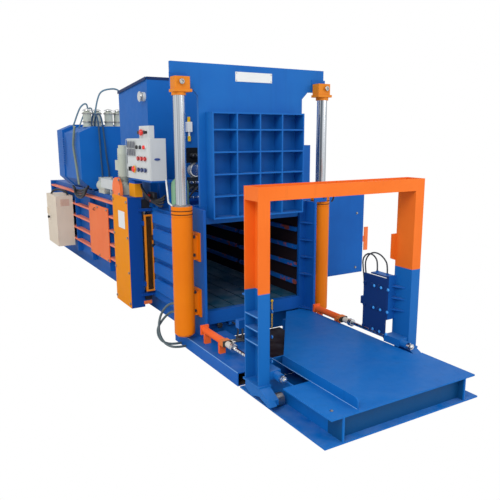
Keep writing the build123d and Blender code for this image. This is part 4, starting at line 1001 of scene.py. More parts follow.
@dataclass(frozen=True)
class Hose:
    """A hydraulic hose with both ends on the machine."""

    name: str
    node: str
    body: str
    diameter: float
    length: float
    finish: Finish
    route: tuple[Point, ...]
    stiffness: Stiffness = Stiffness.MEDIUM

    def build(self) -> None:
        """Make the hose as a NURBS curve whose control points are its route."""
        curve = bpy.data.curves.new(self.name, "CURVE")
        curve.dimensions = "3D"
        curve.bevel_depth = self.diameter / 2
        curve.bevel_resolution = 4
        curve.resolution_u = 8
        curve.use_fill_caps = True
        spline = curve.splines.new("NURBS")
        spline.points.add(len(self.route) - 1)
        flat = [value for point in self.route for value in (*point, 1.0)]
        spline.points.foreach_set("co", flat)
        spline.order_u = 3
        spline.use_endpoint_u = True
        made = bpy.data.objects.new(self.name, curve)
        bpy.context.scene.collection.objects.link(made)
        curve.materials.append(self.finish.material())
        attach(made, self.body)
        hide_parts(self.node)
        log.info("%s: hose on %s", self.name, self.body)


INNER_ROUTE = (
    (-0.788, 0.110, 0.330), (-0.788, 0.194, 0.330), (-0.798, 0.283, 0.310),
    (-0.849, 0.353, 0.235), (-0.938, 0.334, 0.136), (-0.946, 0.225, 0.055),
    (-0.868, 0.150, 0.019), (-0.754, 0.150, 0.019))

HOSES = (
    Hose("lift_hose_outer", "lift_hose_a", "frame", 0.023, 0.851, PALETTE.sheen, (
        (-0.788, 0.110, 0.420), (-0.788, 0.205, 0.420), (-0.828, 0.290, 0.385),
        (-0.885, 0.325, 0.300), (-0.925, 0.305, 0.200), (-0.947, 0.234, 0.106),
        (-0.931, 0.114, 0.042), (-0.852, 0.050, 0.019), (-0.754, 0.050, 0.019))),
    Hose("lift_hose_inner", "lift_hose_b", "frame", 0.023, 0.759, PALETTE.sheen, INNER_ROUTE),
    Hose("lift_hose_far", "lift_hose_c", "frame", 0.023, 0.759, PALETTE.rubber,
         tuple((-x, y, z) for x, y, z in INNER_ROUTE)),
    Hose("puller_hose_rear", "puller_hose_a", "frame", 0.018, 0.770, PALETTE.rubber, (
        (-0.250, 0.020, 0.178), (-0.250, -0.070, 0.178), (-0.290, -0.165, 0.160),
        (-0.350, -0.255, 0.142), (-0.415, -0.340, 0.134), (-0.409, -0.453, 0.173),
        (-0.488, -0.560, 0.232), (-0.600, -0.560, 0.232))),
    Hose("puller_hose_front", "puller_hose_b", "frame", 0.018, 0.818, PALETTE.rubber, (
        (-0.205, 0.020, 0.178), (-0.205, -0.075, 0.178), (-0.245, -0.170, 0.152),
        (-0.300, -0.265, 0.136), (-0.360, -0.360, 0.131), (-0.405, -0.492, 0.167),
        (-0.492, -0.600, 0.232), (-0.600, -0.600, 0.232))),
    Hose("plate_hose_short", "plate_hose_a", "puller", 0.014, 0.648, PALETTE.rubber, (
        (0.655, -0.890, 0.540), (0.655, -0.890, 0.667), (0.649, -0.871, 0.798),
        (0.650, -0.859, 0.879), (0.656, -0.881, 0.925), (0.661, -0.921, 0.949),
        (0.668, -0.966, 0.948), (0.674, -1.005, 0.923), (0.680, -1.024, 0.881),
        (0.680, -1.024, 0.805))),
    Hose("plate_hose_long", "plate_hose_b", "puller", 0.014, 0.760, PALETTE.rubber, (
        (0.690, -0.890, 0.540), (0.690, -0.890, 0.650), (0.684, -0.870, 0.760),
        (0.680, -0.860, 0.855), (0.680, -0.895, 0.925), (0.681, -0.960, 0.965),
        (0.682, -1.040, 0.965), (0.682, -1.111, 0.928), (0.680, -1.151, 0.882),
        (0.680, -1.151, 0.805))),
    Hose("tank_hose_left", "tank_hose_a", "frame", 0.024, 1.240, PALETTE.teal, (
        (-0.512, 3.760, 2.160), (-0.512, 3.760, 2.236), (-0.511, 3.722, 2.301),
        (-0.509, 3.657, 2.339), (-0.506, 3.582, 2.339), (-0.503, 3.519, 2.303),
        (-0.500, 3.478, 2.235), (-0.497, 3.470, 2.106), (-0.493, 3.465, 1.892),
        (-0.490, 3.462, 1.680), (-0.485, 3.455, 1.540), (-0.485, 3.455, 1.440))),
    Hose("tank_hose_right", "tank_hose_b", "frame", 0.024, 1.243, PALETTE.teal, (
        (-0.468, 3.760, 2.160), (-0.468, 3.760, 2.236), (-0.462, 3.722, 2.301),
        (-0.456, 3.657, 2.339), (-0.451, 3.582, 2.339), (-0.447, 3.519, 2.303),
        (-0.442, 3.478, 2.235), (-0.434, 3.470, 2.106), (-0.420, 3.465, 1.892),
        (-0.405, 3.462, 1.680), (-0.385, 3.455, 1.540), (-0.385, 3.455, 1.440))),
)


@dataclass(frozen=True)
class Lamp:
    """A soft square lamp: where it hangs, and its power in watts."""

    name: str
    place: Point
    power: float
    aim: Point = (0.0, 1.5, 1.0)
    size: float = 5.0

    def build(self) -> None:
        """Make the lamp and turn it to its aim."""
        data = bpy.data.lights.new(self.name, "AREA")
        data.size = self.size
        data.energy = self.power
        made = bpy.data.objects.new(self.name, data)
        made.location = self.place
        made.rotation_mode = "QUATERNION"
        towards = Vector(self.aim) - Vector(self.place)
        made.rotation_quaternion = towards.to_track_quat("-Z", "Y")
        bpy.context.scene.collection.objects.link(made)


@dataclass(frozen=True)
class Studio:
    """Camera, floor, world and soft lamps."""

    place: Point = (-2.878, -4.755, 1.994)
    yaw: float = math.radians(30.69)
    pitch: float = math.radians(11.19)
    roll: float = math.radians(-0.22)
    focal: float = 40.9
    sensor: float = 36.0
    sight: float = 100.0
    floor_reach: float = 60.0
    floor_colour: tuple[float, ...] = (0.8, 0.8, 0.8, 1.0)
    sky_colour: tuple[float, ...] = (0.95, 0.97, 1.0, 1.0)
    sky_strength: float = 0.88
    lamps: tuple[Lamp, ...] = (Lamp("key", (-7.0, -6.5, 8.0), 520.0),
                               Lamp("fill", (5.0, -7.0, 5.0), 160.0))

    def camera(self) -> None:
        """Place the camera at the photograph's angle.

        It looks along (sin yaw cos pitch, cos yaw cos pitch, -sin pitch), turned by the roll.
        """
        data = bpy.data.cameras.new("camera")
        data.lens = self.focal
        data.sensor_width = self.sensor
        data.clip_end = self.sight
        made = bpy.data.objects.new("camera", data)
        bpy.context.scene.collection.objects.link(made)
        ahead = Vector((math.sin(self.yaw) * math.cos(self.pitch),
                        math.cos(self.yaw) * math.cos(self.pitch), -math.sin(self.pitch)))
        level_right = Vector((math.cos(self.yaw), -math.sin(self.yaw), 0.0))
        level_up = level_right.cross(ahead)
        right = math.cos(self.roll) * level_right + math.sin(self.roll) * level_up
        up = -math.sin(self.roll) * level_right + math.cos(self.roll) * level_up
        turn = Matrix((right, up, -ahead)).transposed().to_4x4()
        made.matrix_world = Matrix.Translation(self.place) @ turn
        bpy.context.scene.camera = made

    @staticmethod
    def white_to_camera(
        graph: ShaderGraph, given: bpy.types.Node, seen: bpy.types.Node, output: str
    ) -> None:
        """Show the camera plain white, and light the object by another shader.

        Args:
            graph: The tree.
            given: Shader for all other rays.
            seen: Shader that the camera sees.
            output: Type name of the output node.
        """
        seen.inputs["Color"].default_value = WHITE
        mixed = graph.node("ShaderNodeMixShader")
        camera_ray = graph.node("ShaderNodeLightPath").outputs["Is Camera Ray"]
        for place, source in enumerate((camera_ray, given.outputs[0], seen.outputs[0])):
            graph.link(source, mixed.inputs[place])
        graph.link(mixed.outputs[0], graph.node(output).inputs[0])

    def floor(self) -> None:
        """Make the plain pale floor."""
        data = bpy.data.meshes.new("floor")
        corners = [(x * self.floor_reach, y * self.floor_reach, 0)
                   for x, y in ((-1, -1), (1, -1), (1, 1), (-1, 1))]
        data.from_pydata(corners, [], [(0, 1, 2, 3)])
        made = bpy.data.objects.new("floor", data)
        bpy.context.scene.collection.objects.link(made)
        material = bpy.data.materials.new("floor")
        material.use_nodes = True
        material.node_tree.nodes.clear()
        graph = ShaderGraph(material.node_tree)
        matte = graph.node("ShaderNodeBsdfDiffuse")
        matte.inputs["Color"].default_value = self.floor_colour
        self.white_to_camera(graph, matte, graph.node("ShaderNodeEmission"),
                             "ShaderNodeOutputMaterial")
        data.materials.append(material)

    def sky(self) -> None:
        """Make the world's even light."""
        world = bpy.data.worlds.new("world")
        bpy.context.scene.world = world
        world.use_nodes = True
        world.node_tree.nodes.clear()
        graph = ShaderGraph(world.node_tree)
        given = graph.node("ShaderNodeBackground")
        given.inputs["Color"].default_value = self.sky_colour
        given.inputs["Strength"].default_value = self.sky_strength
        self.white_to_camera(graph, given, graph.node("ShaderNodeBackground"),
                             "ShaderNodeOutputWorld")

    def build(self) -> None:
        """Make the camera, the floor, the world and the lamps."""
        bpy.context.scene.view_settings.view_transform = "Standard"
        self.camera()
        self.floor()
        self.sky()
        for lamp in self.lamps:
            lamp.build()


@dataclass(frozen=True)
class LiftUnit:
    """Bolts, bands, clamp, seals and port nuts of the two upright lift cylinders."""

    sides: tuple[float, float] = (-0.788, 0.788)
    axis_y: float = -0.02
    top: float = 1.385
    bolt: Turned = Turned(HEX_BOLT, Axis.Y, -1, 6)
    bolt_sides: tuple[float, float] = (-0.695, 0.695)
    bolt_y: float = -0.0645
    bolt_rows: tuple[float, ...] = (1.1, 0.93, 0.575, 0.395)
    band: Turned = Turned(((0.0, 0.097), (0.0, 0.101), (0.006, 0.101), (0.006, 0.097)),
                          Axis.Z, 1, 64)
    band_rows: tuple[float, ...] = (1.345, 1.312)
    clamp: Box = ((0.63, -0.136, 1.345), (0.79, -0.119, 1.39))
    clamp_edge: float = 0.004
    pipe: tuple[Point, Point, Point] = (
        (0.74, -0.138, 1.385), (0.875, -0.1, 1.335), (0.045, -0.02, 0.05))
    pipe_radius: float = 0.009
    seal: Turned = Turned(((0.0, 0.08), (0.008, 0.08), (0.014, 0.072), (0.016, 0.054)),
                          Axis.Z, 1, 48)
    screw: Turned = Turned(((0.0, 0.006), (0.007, 0.006), (0.008, 0.005), (0.008, 0.003),
                            (0.004, 0.003)), Axis.Z, 1, 12)
    screw_circle: float = 0.085
    screw_count: int = 8
    nut: Turned = Turned(((-0.03, 0.013), (-0.028, 0.017), (-0.008, 0.017), (-0.006, 0.014),
                          (0.008, 0.014)), Axis.Y, 1, 6)
    port_y: float = 0.132
    port_rows: tuple[float, ...] = (0.42, 0.33)

    def build(self) -> None:
        """Make the pieces of both sides."""
        Shell(self.bolt.at(lattice(self.bolt_sides, [self.bolt_y], self.bolt_rows))).piece(
            "lift_bolts", PALETTE.black)
        Shell(self.band.at(lattice(self.sides, [self.axis_y], self.band_rows))).piece(
            "lift_bands", PALETTE.rust)
        Shell(block(*self.clamp, self.clamp_edge)).piece(
            "lift_clamp", PALETTE.frame)
        Shell(swept(bowed(*self.pipe), self.pipe_radius, 12)).piece(
            "lift_clamp_pipe", PALETTE.black)
        tops = lattice(self.sides, [self.axis_y], [self.top])
        screws = np.concatenate([circled(top, self.screw_circle, self.screw_count, Axis.Z)
                                 for top in tops])
        Shell(self.seal.at(tops), self.screw.at(screws)).piece(
            "lift_seals", PALETTE.steel)
        Shell(self.nut.at(lattice(self.sides, [self.port_y], self.port_rows))).piece(
            "lift_nuts", PALETTE.brass)


@dataclass(frozen=True)
class GateTrim:
    """Blank plate with rivets, pin heads and pads of the gate."""

    body: str = "gate"
    face: float = 0.0298
    plate_x: tuple[float, float] = (-0.19, 0.215)
    plate_z: tuple[float, float] = (2.507, 2.595)
    plate_depth: float = 0.003
    rivet: Turned = Turned(((0.0, 0.005), (0.002, 0.005), (0.003, 0.003)), Axis.Y, -1, 12)
    rivet_inset: float = 0.012
    pin: Turned = Turned(((0.0, 0.024), (0.008, 0.024), (0.011, 0.021), (0.011, 0.013),
                          (0.004, 0.011)), Axis.Y, -1, 32)
    pin_place: Point = (0.788, -0.0955, 2.472)
    pad_x: tuple[float, float] = (0.69, 0.856)
    pad_z: tuple[float, float] = (2.518, 2.56)
    pad_depth: float = 0.006

    def build(self) -> None:
        """Make the pieces, which rise and fall with the gate."""
        (x0, x1), (z0, z1), inset = self.plate_x, self.plate_z, self.rivet_inset
        front = self.face - self.plate_depth
        Shell(block((x0, front, z0), (x1, self.face, z1), 0.001)).piece(
            "gate_blank_plate", PALETTE.blank, self.body)
        spots = lattice((x0 + inset, x1 - inset), [front], (z0 + inset, z1 - inset))
        Shell(self.rivet.at(spots)).piece(
            "gate_plate_rivets", PALETTE.steel, self.body)
        x, y, z = self.pin_place
        Shell(self.pin.at(lattice((-x, x), [y], [z]))).piece(
            "gate_pin_heads", PALETTE.steel, self.body)
        pads = []
        for side in SIDES:
            left, right = sorted(side * x for x in self.pad_x)
            pads.append(block((left, self.face - self.pad_depth, self.pad_z[0]),
                              (right, self.face, self.pad_z[1])))
        Shell(*pads).piece("gate_pads", PALETTE.blue, self.body)


@dataclass(frozen=True)
class HopperTrim:
    """Strips along the top edge of the feed hopper, and the sensor's ring and bolts."""

    half: float = 0.6
    front: float = 1.24
    back: float = 2.2
    top_front: float = 2.64
    top_back: float = 2.55
    side_drop: float = 0.032
    front_drop: float = 0.03
    front_depth: float = 0.004
    side_offsets: tuple[float, float] = (0.0115, 0.0155)
    edge: float = 0.001
    sensor: Point = (-0.652, 1.32, 2.435)
    ring: Turned = Turned(((0.0, 0.052), (0.0, 0.056), (0.006, 0.056), (0.008, 0.05),
                           (0.012, 0.05), (0.013, 0.04)), Axis.X, -1, 40)
    bolt: Turned = Turned(((0.0, 0.006), (0.005, 0.006), (0.006, 0.004)), Axis.X, -1, 6)
    bolt_circle: float = 0.043
    bolt_count: int = 6

    def build(self) -> None:
        """Make the strips, which follow the slope of the top, and the sensor's pieces."""
        outline = ((self.front, self.top_front - self.side_drop), (self.front, self.top_front),
                   (self.back, self.top_back), (self.back, self.top_back - self.side_drop))
        strips = [prism(outline, Axis.X, *(side * (self.half + out) for out in
                                           self.side_offsets), self.edge) for side in SIDES]
        strips.append(block(
            (-self.half, self.front - self.front_depth, self.top_front - self.front_drop),
            (self.half, self.front, self.top_front), self.edge))
        Shell(*strips).piece("hopper_rim_strip", PALETTE.navy)
        Shell(self.ring.at([self.sensor])).piece(
            "sensor_ring", PALETTE.bright_steel)
        places = circled(self.sensor, self.bolt_circle, self.bolt_count, Axis.X)
        Shell(self.bolt.at(places)).piece("sensor_bolts", PALETTE.steel)


@dataclass(frozen=True)
class ValveGroup:
    """Valves, gauge, pipes and accumulator on the chamber roof."""

    sleeve: Turned = Turned(((-0.03, 0.013), (-0.028, 0.017), (0.028, 0.017), (0.03, 0.013)),
                            Axis.Z)
    sleeves: tuple[Point, ...] = ((-0.127, 1.215, 2.195), (-0.127, 1.215, 1.985))
    gauge: Point = (-0.143, 1.029, 1.64)
    bezel: Turned = Turned(((0.0, 0.07), (0.012, 0.073), (0.016, 0.07), (0.012, 0.062),
                            (0.008, 0.06)), Axis.Y, -1, 48)
    dial: Turned = Turned(((0.0, 0.06), (0.009, 0.06), (0.0095, 0.058)), Axis.Y, -1, 48)
    coil: Turned = Turned(((0.0, 0.024), (0.05, 0.024), (0.054, 0.02), (0.054, 0.011),
                           (0.068, 0.011), (0.07, 0.008)), Axis.Y, -1, 32)
    coil_nut: Turned = Turned(((0.0, 0.006), (0.004, 0.008), (0.008, 0.006)), Axis.Y, -1, 12)
    coil_x: tuple[float, ...] = (-0.19, -0.145, -0.1)
    coil_y: float = 1.051
    coil_nut_y: float = 0.982
    coil_z: float = 1.805
    fitting: Turned = Turned(((0.0, 0.018), (0.012, 0.018), (0.012, 0.013), (0.03, 0.013),
                              (0.03, 0.016), (0.044, 0.016), (0.046, 0.012)), Axis.Y, -1, 6)
    block_y: float = 1.0105
    port_z: tuple[float, ...] = (1.345, 1.43, 1.51)
    pipe_ends: tuple[tuple[float, Point], ...] = (
        (-0.215, (-0.42, 0.96, 1.235)), (-0.155, (-0.36, 0.93, 1.235)),
        (-0.09, (0.14, 0.93, 1.235)))
    pipe_back: float = 0.04
    pipe_bow: Point = (0.0, -0.09, 0.09)
    pipe_up: Point = (0.0, 1.0, 0.3)
    pipe_radius: float = 0.011
    line_starts: tuple[Point, Point] = ((-0.71, 1.225, 1.5), (0.012, -0.012, -0.045))
    line_ends: tuple[Point, Point] = ((-0.63, 0.82, 1.3), (0.01, 0.0, 0.035))
    line_bow: Point = (-0.02, 0.0, -0.05)
    line_count: int = 4
    line_radius: float = 0.012
    line_block: Box = ((-0.66, 1.0, 1.30), (-0.615, 1.17, 1.42))
    tap: Turned = Turned(((0.0, 0.012), (0.01, 0.012), (0.012, 0.016), (0.022, 0.016),
                          (0.024, 0.01)), Axis.X, -1, 20)
    taps: tuple[Point, ...] = ((-0.66, 1.12, 1.38), (-0.66, 1.05, 1.34))
    vessel: Turned = Turned(((0.0, 0.03), (0.004, 0.06), (0.03, 0.086), (0.06, 0.09),
                             (0.24, 0.09), (0.28, 0.082), (0.31, 0.05), (0.318, 0.024),
                             (0.345, 0.024), (0.347, 0.018)), Axis.Z, 1, 48)
    vessel_foot: Point = (-0.527, 0.6, 1.28)
    vessel_line: tuple[Box, ...] = (((-0.664, 0.63, 1.578), (-0.65, 0.62, 1.36)),
                                    ((-0.648, 0.615, 1.345), (-0.6, 0.6, 1.3)))
    vessel_line_radius: float = 0.009

    def build(self) -> None:
        """Make the valves and the gauge, and then the pipes and the accumulator."""
        Shell(self.sleeve.at(self.sleeves)).piece("pilot_sleeves", PALETTE.yellow)
        Shell(self.bezel.at([self.gauge])).piece("gauge_bezel", PALETTE.bright_steel)
        Shell(self.dial.at([self.gauge])).piece("gauge_dial", PALETTE.bright_steel)
        Shell(self.coil.at(lattice(self.coil_x, [self.coil_y], [self.coil_z]))).piece(
            "valve_coils", PALETTE.black)
        Shell(self.coil_nut.at(lattice(self.coil_x, [self.coil_nut_y], [self.coil_z]))).piece(
            "coil_nuts", PALETTE.steel)
        ports = lattice([x for x, _ in self.pipe_ends], [self.block_y], self.port_z)
        Shell(self.fitting.at(ports)).piece(
            "valve_fittings", PALETTE.bright_steel)
        self.lines()
        Shell(self.tap.at(self.taps)).piece("roof_taps", PALETTE.red)
        Shell(self.vessel.at([self.vessel_foot])).piece(
            "accumulator", PALETTE.accumulator)
        path = np.concatenate([straight(*run) for run in self.vessel_line])
        Shell(swept(path, self.vessel_line_radius, 12, ALONG_Y)).piece(
            "accumulator_line", PALETTE.white)

    def lines(self) -> None:
        """Make the pipes of the valves and the bundle of lines down to the roof."""
        level = self.port_z[1]
        pipes = [bowed((x, self.block_y - self.pipe_back, level), end, self.pipe_bow)
                 for x, end in self.pipe_ends]
        Shell(*(swept(pipe, self.pipe_radius, 12, self.pipe_up) for pipe in pipes)).piece(
            "valve_pipes", PALETTE.black)
        (start, start_step), (end, end_step) = np.array((self.line_starts, self.line_ends))
        lines = [bowed(start + k * start_step, end + k * end_step, self.line_bow)
                 for k in range(self.line_count)]
        Shell(*(swept(line, self.line_radius, 12) for line in lines),
              block(*self.line_block, 0.006)).piece(
            "roof_lines", PALETTE.black)


@dataclass(frozen=True)
class ControlBox:
    """Ring, collars, lamps, edge, bars, knobs and oval lock of the control box."""

    body: str = "control_door"
    door_x: float = -0.835
    ring: Turned = Turned(((0.0, 0.04), (0.003, 0.04), (0.005, 0.036), (0.005, 0.03)),
                          Axis.X, -1, 40)
    stop: Point = (-0.8352, 1.08, 1.672)
    collar: Turned = Turned(((0.0, 0.024), (0.004, 0.024), (0.006, 0.02), (0.006, 0.018)),
                            Axis.X, -1, 32)
    columns: tuple[float, ...] = (0.76, 0.86, 0.96)
    rows: tuple[float, ...] = (1.787, 1.672)
    selector_y: float = 1.205
    lens: Turned = Turned(((0.0, 0.02), (0.012, 0.02), (0.018, 0.016), (0.02, 0.006)),
                          Axis.X, -1, 24)
    lamp_z: float = 1.902
    skin: float = 0.002
    skin_edge: float = 0.0008
    edges: tuple[tuple[tuple[float, float], tuple[float, float]], ...] = (
        ((0.64, 1.578), (1.315, 1.584)), ((0.64, 1.978), (1.315, 1.984)),
        ((0.64, 1.578), (0.646, 1.984)), ((1.309, 1.578), (1.315, 1.984)))
    bar_y: tuple[float, float, float] = (1.045, 1.27, 0.05)
    bar_width: float = 0.032
    bar_z: tuple[tuple[float, float], ...] = ((1.812, 1.882), (1.892, 1.96))
    knob: Turned = Turned(((0.0, 0.014), (0.02, 0.014), (0.022, 0.018), (0.034, 0.018),
                           (0.036, 0.014)), Axis.X, -1, 24)
    knobs: tuple[Point, ...] = ((-0.795, 0.775, 2.05), (-0.795, 0.95, 2.05))
    lock: Turned = Turned(((0.0, 0.012), (0.006, 0.012), (0.009, 0.009), (0.009, 0.004)),
                          Axis.Y, -1, 32)
    lock_place: Point = (-0.752, 0.6298, 1.785)
    lock_stretch: Point = (2.6, 1.0, 1.0)

    def on_door(self, low: tuple[float, float], high: tuple[float, float]) -> np.ndarray:
        """A thin strip on the door, from its lowest to its highest Y and Z."""
        return block((self.door_x - self.skin, *low), (self.door_x, *high), self.skin_edge)

    def build(self) -> None:
        """Make the pieces on the door, on the alarm box and on the front."""
        Shell(self.ring.at([self.stop])).piece(
            "stop_ring", PALETTE.yellow, self.body)
        selector = [(self.door_x, self.selector_y, self.rows[1])]
        places = np.concatenate([lattice([self.door_x], self.columns, self.rows), selector])
        Shell(self.collar.at(places)).piece(
            "button_collars", PALETTE.black, self.body)
        lamps = lattice([self.door_x], self.columns, [self.lamp_z])
        Shell(self.lens.at(lamps[1:])).piece(
            "lamp_caps", PALETTE.black, self.body)
        Shell(self.lens.at(lamps[:1])).piece("lamp_lens", PALETTE.red, self.body)
        Shell(*(self.on_door(low, high) for low, high in self.edges)).piece(
            "door_edge", PALETTE.pale, self.body)
        bars = [self.on_door((start, low), (start + self.bar_width, high))
                for start in np.arange(*self.bar_y) for low, high in self.bar_z]
        Shell(*bars).piece("indicator_bars", PALETTE.legend, self.body)
        Shell(self.knob.at(self.knobs)).piece("alarm_knobs", PALETTE.black)
        middle = np.array(self.lock_place)
        oval = middle + (self.lock.at([middle]) - middle) * np.array(self.lock_stretch)
        Shell(oval).piece("box_lock", PALETTE.cobalt)


@dataclass(frozen=True)
class TieUnit:
    """Blank plate, guard knob, bolts, motor fins, guard mesh and foot of the tying unit."""

    face: float = -0.865
    plate: Box = ((-0.868, 1.38, 0.99), (-0.865, 1.6, 1.185))
    knob: Turned = Turned(((0.0, 0.008), (0.012, 0.008), (0.014, 0.018), (0.026, 0.02),
                           (0.032, 0.016), (0.034, 0.008)), Axis.Y, -1, 32)
    knob_place: Point = (-0.62, 1.1895, 0.815)
    bolt: Turned = Turned(HEX_BOLT, Axis.X, -1, 6)
    housing_bolts: tuple[tuple[float, ...], ...] = ((1.3, 1.77), (0.14, 0.5, 0.9, 1.3))
    feeder_bolts: tuple[tuple[float, ...], ...] = ((1.52, 1.76), (1.375, 1.535))
    fin: Turned = Turned(((0.0, 0.062), (0.0, 0.067), (0.004, 0.067), (0.004, 0.062)),
                         Axis.Z, 1, 40)
    motor: tuple[float, float] = (-0.765, 1.64)
    fin_z: tuple[float, float, float] = (1.52, 1.82, 0.022)
    foot: Box = ((-0.718, 1.262, 0.12), (-0.624, 1.272, 0.16))
    mesh_x: tuple[float, float] = (-0.68, -0.622)
    mesh_z: tuple[float, float] = (0.306, 1.14)
    mesh_y: float = 1.2105
    mesh_pitch: float = 0.028
    mesh_slope: float = 1.6
    strand: float = 0.0022

    def build(self) -> None:
        """Make the pieces of the tying unit."""
        Shell(block(*self.plate, 0.001)).piece(
            "tie_blank_plate", PALETTE.blank)
        Shell(self.knob.at([self.knob_place])).piece(
            "guard_knob", PALETTE.black, "mesh_guard")
        bolts = [lattice([self.face], *rows) for rows in (self.housing_bolts, self.feeder_bolts)]
        Shell(self.bolt.at(np.concatenate(bolts))).piece(
            "tie_bolts", PALETTE.steel)
        x, y = self.motor
        Shell(self.fin.at(lattice([x], [y], np.arange(*self.fin_z)))).piece(
            "motor_fins", PALETTE.motor)
        self.mesh()
        Shell(block(*self.foot)).piece("foot_block", PALETTE.coral)

    def mesh(self) -> None:
        """Make the expanded mesh: strands that rise by the slope times the guard's width."""
        left, right = self.mesh_x
        bottom, top = self.mesh_z
        rise = (right - left) * self.mesh_slope
        strands = [straight((first, self.mesh_y, bottom + start),
                            (last, self.mesh_y, bottom + start + rise), 3)
                   for first, last in ((right, left), (left, right))
                   for start in np.arange(0.0, top - bottom - rise, self.mesh_pitch)]
        Shell(*(swept(line, self.strand, 6, ALONG_Y) for line in strands)).piece(
            "guard_mesh", PALETTE.mesh, "mesh_guard")


@dataclass(frozen=True)
class Platform:
    """Painted highlight lines along the deck's edges, screws of the deck, and the fitting, chain
    and foot on the sill.
    """

    # painted highlights: thin light lines on the fence's edge and on the left beam's top edge
    highlight_lines: tuple[tuple[Box, float], ...] = (
        (((-0.457, -2.08, 0.2005), (-0.457, -1.03, 0.2005)), 0.0025),
        (((-0.754, -0.972, 0.1155), (-0.754, -0.002, 0.1155)), 0.003))
    screw: Turned = Turned(((0.0, 0.012), (0.004, 0.012), (0.006, 0.009), (0.006, 0.004)),
                           Axis.Z, 1, 20)
    screws: tuple[Point, ...] = ((-0.62, -1.33, 0.2), (-0.62, -2.01, 0.2))
    fitting: Turned = Turned(((0.0, 0.02), (0.016, 0.02), (0.016, 0.014), (0.03, 0.014),
                              (0.032, 0.01)), Axis.Y, -1, 6)
    fitting_place: Point = (-0.141, 0.0198, 0.173)
    foot: Turned = Turned(((0.0, 0.03), (0.012, 0.03), (0.016, 0.026), (0.017, 0.012)),
                          Axis.Y, -1, 32)
    foot_place: Point = (-0.398, 0.0198, 0.176)
    link_half: tuple[float, float] = (0.007, 0.011)
    link_bar: float = 0.0026
    link_top: Point = (0.2, -0.012, 0.345)
    link_pitch: float = 0.017
    link_count: int = 18
    hook: Box = ((0.188, -0.02, 0.33), (0.212, -0.0005, 0.352))

    def build(self) -> None:
        """Make the pieces of the low deck and the sill."""
        Shell(*(swept(straight(*run), radius) for run, radius in self.highlight_lines)).piece(
            "deck_edge_highlights", PALETTE.bright)
        Shell(self.screw.at(self.screws)).piece("deck_screws", PALETTE.steel)
        Shell(self.fitting.at([self.fitting_place])).piece(
            "sill_fitting", PALETTE.yellow)
        self.chain()
        Shell(self.foot.at([self.foot_place])).piece(
            "sill_foot", PALETTE.black)

    def chain(self) -> None:
        """Make a hanging chain of oval rings, each turned a quarter from the last.

        A ring's path is its middle plus half its width times the cosine, and half its height
        times the sine, of the angle round it.
        """
        turn = np.linspace(0.0, 2 * np.pi, 20, endpoint=False)
        wide, tall = self.link_half[0] * np.cos(turn), self.link_half[1] * np.sin(turn)
        flat = np.zeros_like(turn)
        links = Shell()
        for step in range(self.link_count):
            offset, up = (((wide, flat, tall), ALONG_Y) if step % 2
                          else ((flat, wide, tall), ALONG_X))
            middle = np.array(self.link_top) - (0.0, 0.0, self.link_pitch * step)
            path = middle + np.stack(offset, axis=-1)
            links.loft(swept(path, self.link_bar, 8, up, closed=True), closed=True)
        links.loft(block(*self.hook, 0.003))
        links.piece("sill_chain", PALETTE.yellow)


@dataclass(frozen=True)
class Portal:
    """Painted highlight lines on the leg ribs, and rod nuts of the bale puller."""

    outer: float = 0.8185
    # painted highlights: light lines where the legs' rib edges catch the light
    highlight_y: tuple[float, float] = (-1.21, -1.39)
    highlight_levels: tuple[float, ...] = (0.5, 0.605, 0.71)
    highlight_radius: float = 0.002
    nut: Turned = Turned(((0.0, 0.026), (0.003, 0.028), (0.018, 0.028), (0.02, 0.024),
                          (0.02, 0.014), (0.03, 0.014), (0.031, 0.01)), Axis.Y, -1, 6)
    nuts: tuple[Point, ...] = ((-0.655, -1.4865, 0.232), (0.655, -1.4865, 0.232))

    def build(self) -> None:
        """Make the pieces that travel with the portal."""
        start, end = self.highlight_y
        runs = [straight((side * self.outer, start, level), (side * self.outer, end, level))
                for side in SIDES for level in self.highlight_levels]
        Shell(*(swept(run, self.highlight_radius) for run in runs)).piece(
            "portal_rib_highlights", PALETTE.bright, "puller")
        Shell(self.nut.at(self.nuts)).piece(
            "rod_end_nuts", PALETTE.bright_steel, "puller")


@dataclass(frozen=True)
class PullerCylinders:
    """Gland rings and hose fittings of the two low cylinders."""

    x: float = 0.655
    z: float = 0.232
    ring: Turned = Turned(((0.0, 0.03), (0.002, 0.036), (0.016, 0.036), (0.018, 0.03)),
                          Axis.Y, -1, 40)
    ring_y: tuple[float, ...] = (-0.7, -0.725)
    fitting: Turned = Turned(((0.0, 0.014), (0.01, 0.014), (0.01, 0.011), (0.03, 0.011),
                              (0.032, 0.009)), Axis.X, 1, 6)
    port_x: float = -0.6
    port_y: tuple[float, ...] = (-0.56, -0.6)

    def build(self) -> None:
        """Make the gland rings and the hose fittings."""
        Shell(self.ring.at(lattice((-self.x, self.x), self.ring_y, [self.z]))).piece(
            "puller_rings", PALETTE.bright_steel)
        Shell(self.fitting.at(lattice([self.port_x], self.port_y, [self.z]))).piece(
            "puller_fittings", PALETTE.steel)


@dataclass(frozen=True)
class BalePlates:
    """Blue domes over the bolts of the bale plates."""

    face: float = 0.6048
    front: float = -1.34
    offsets: tuple[float, ...] = (0.093, 0.18, 0.267)
    rows: tuple[float, ...] = (0.279, 0.482, 0.685)
    dome: Profile = ((0.0, 0.014), (0.004, 0.014), (0.008, 0.01), (0.01, 0.004))

    def build(self) -> None:
        """Make the domes, which look to the middle of the machine."""
        columns = [self.front + offset for offset in self.offsets]
        Shell(*(Turned(self.dome, Axis.X, -side, 20).at(
            lattice([side * self.face], columns, self.rows)) for side in SIDES)).piece(
            "plate_bolt_domes", PALETTE.sky, "puller")


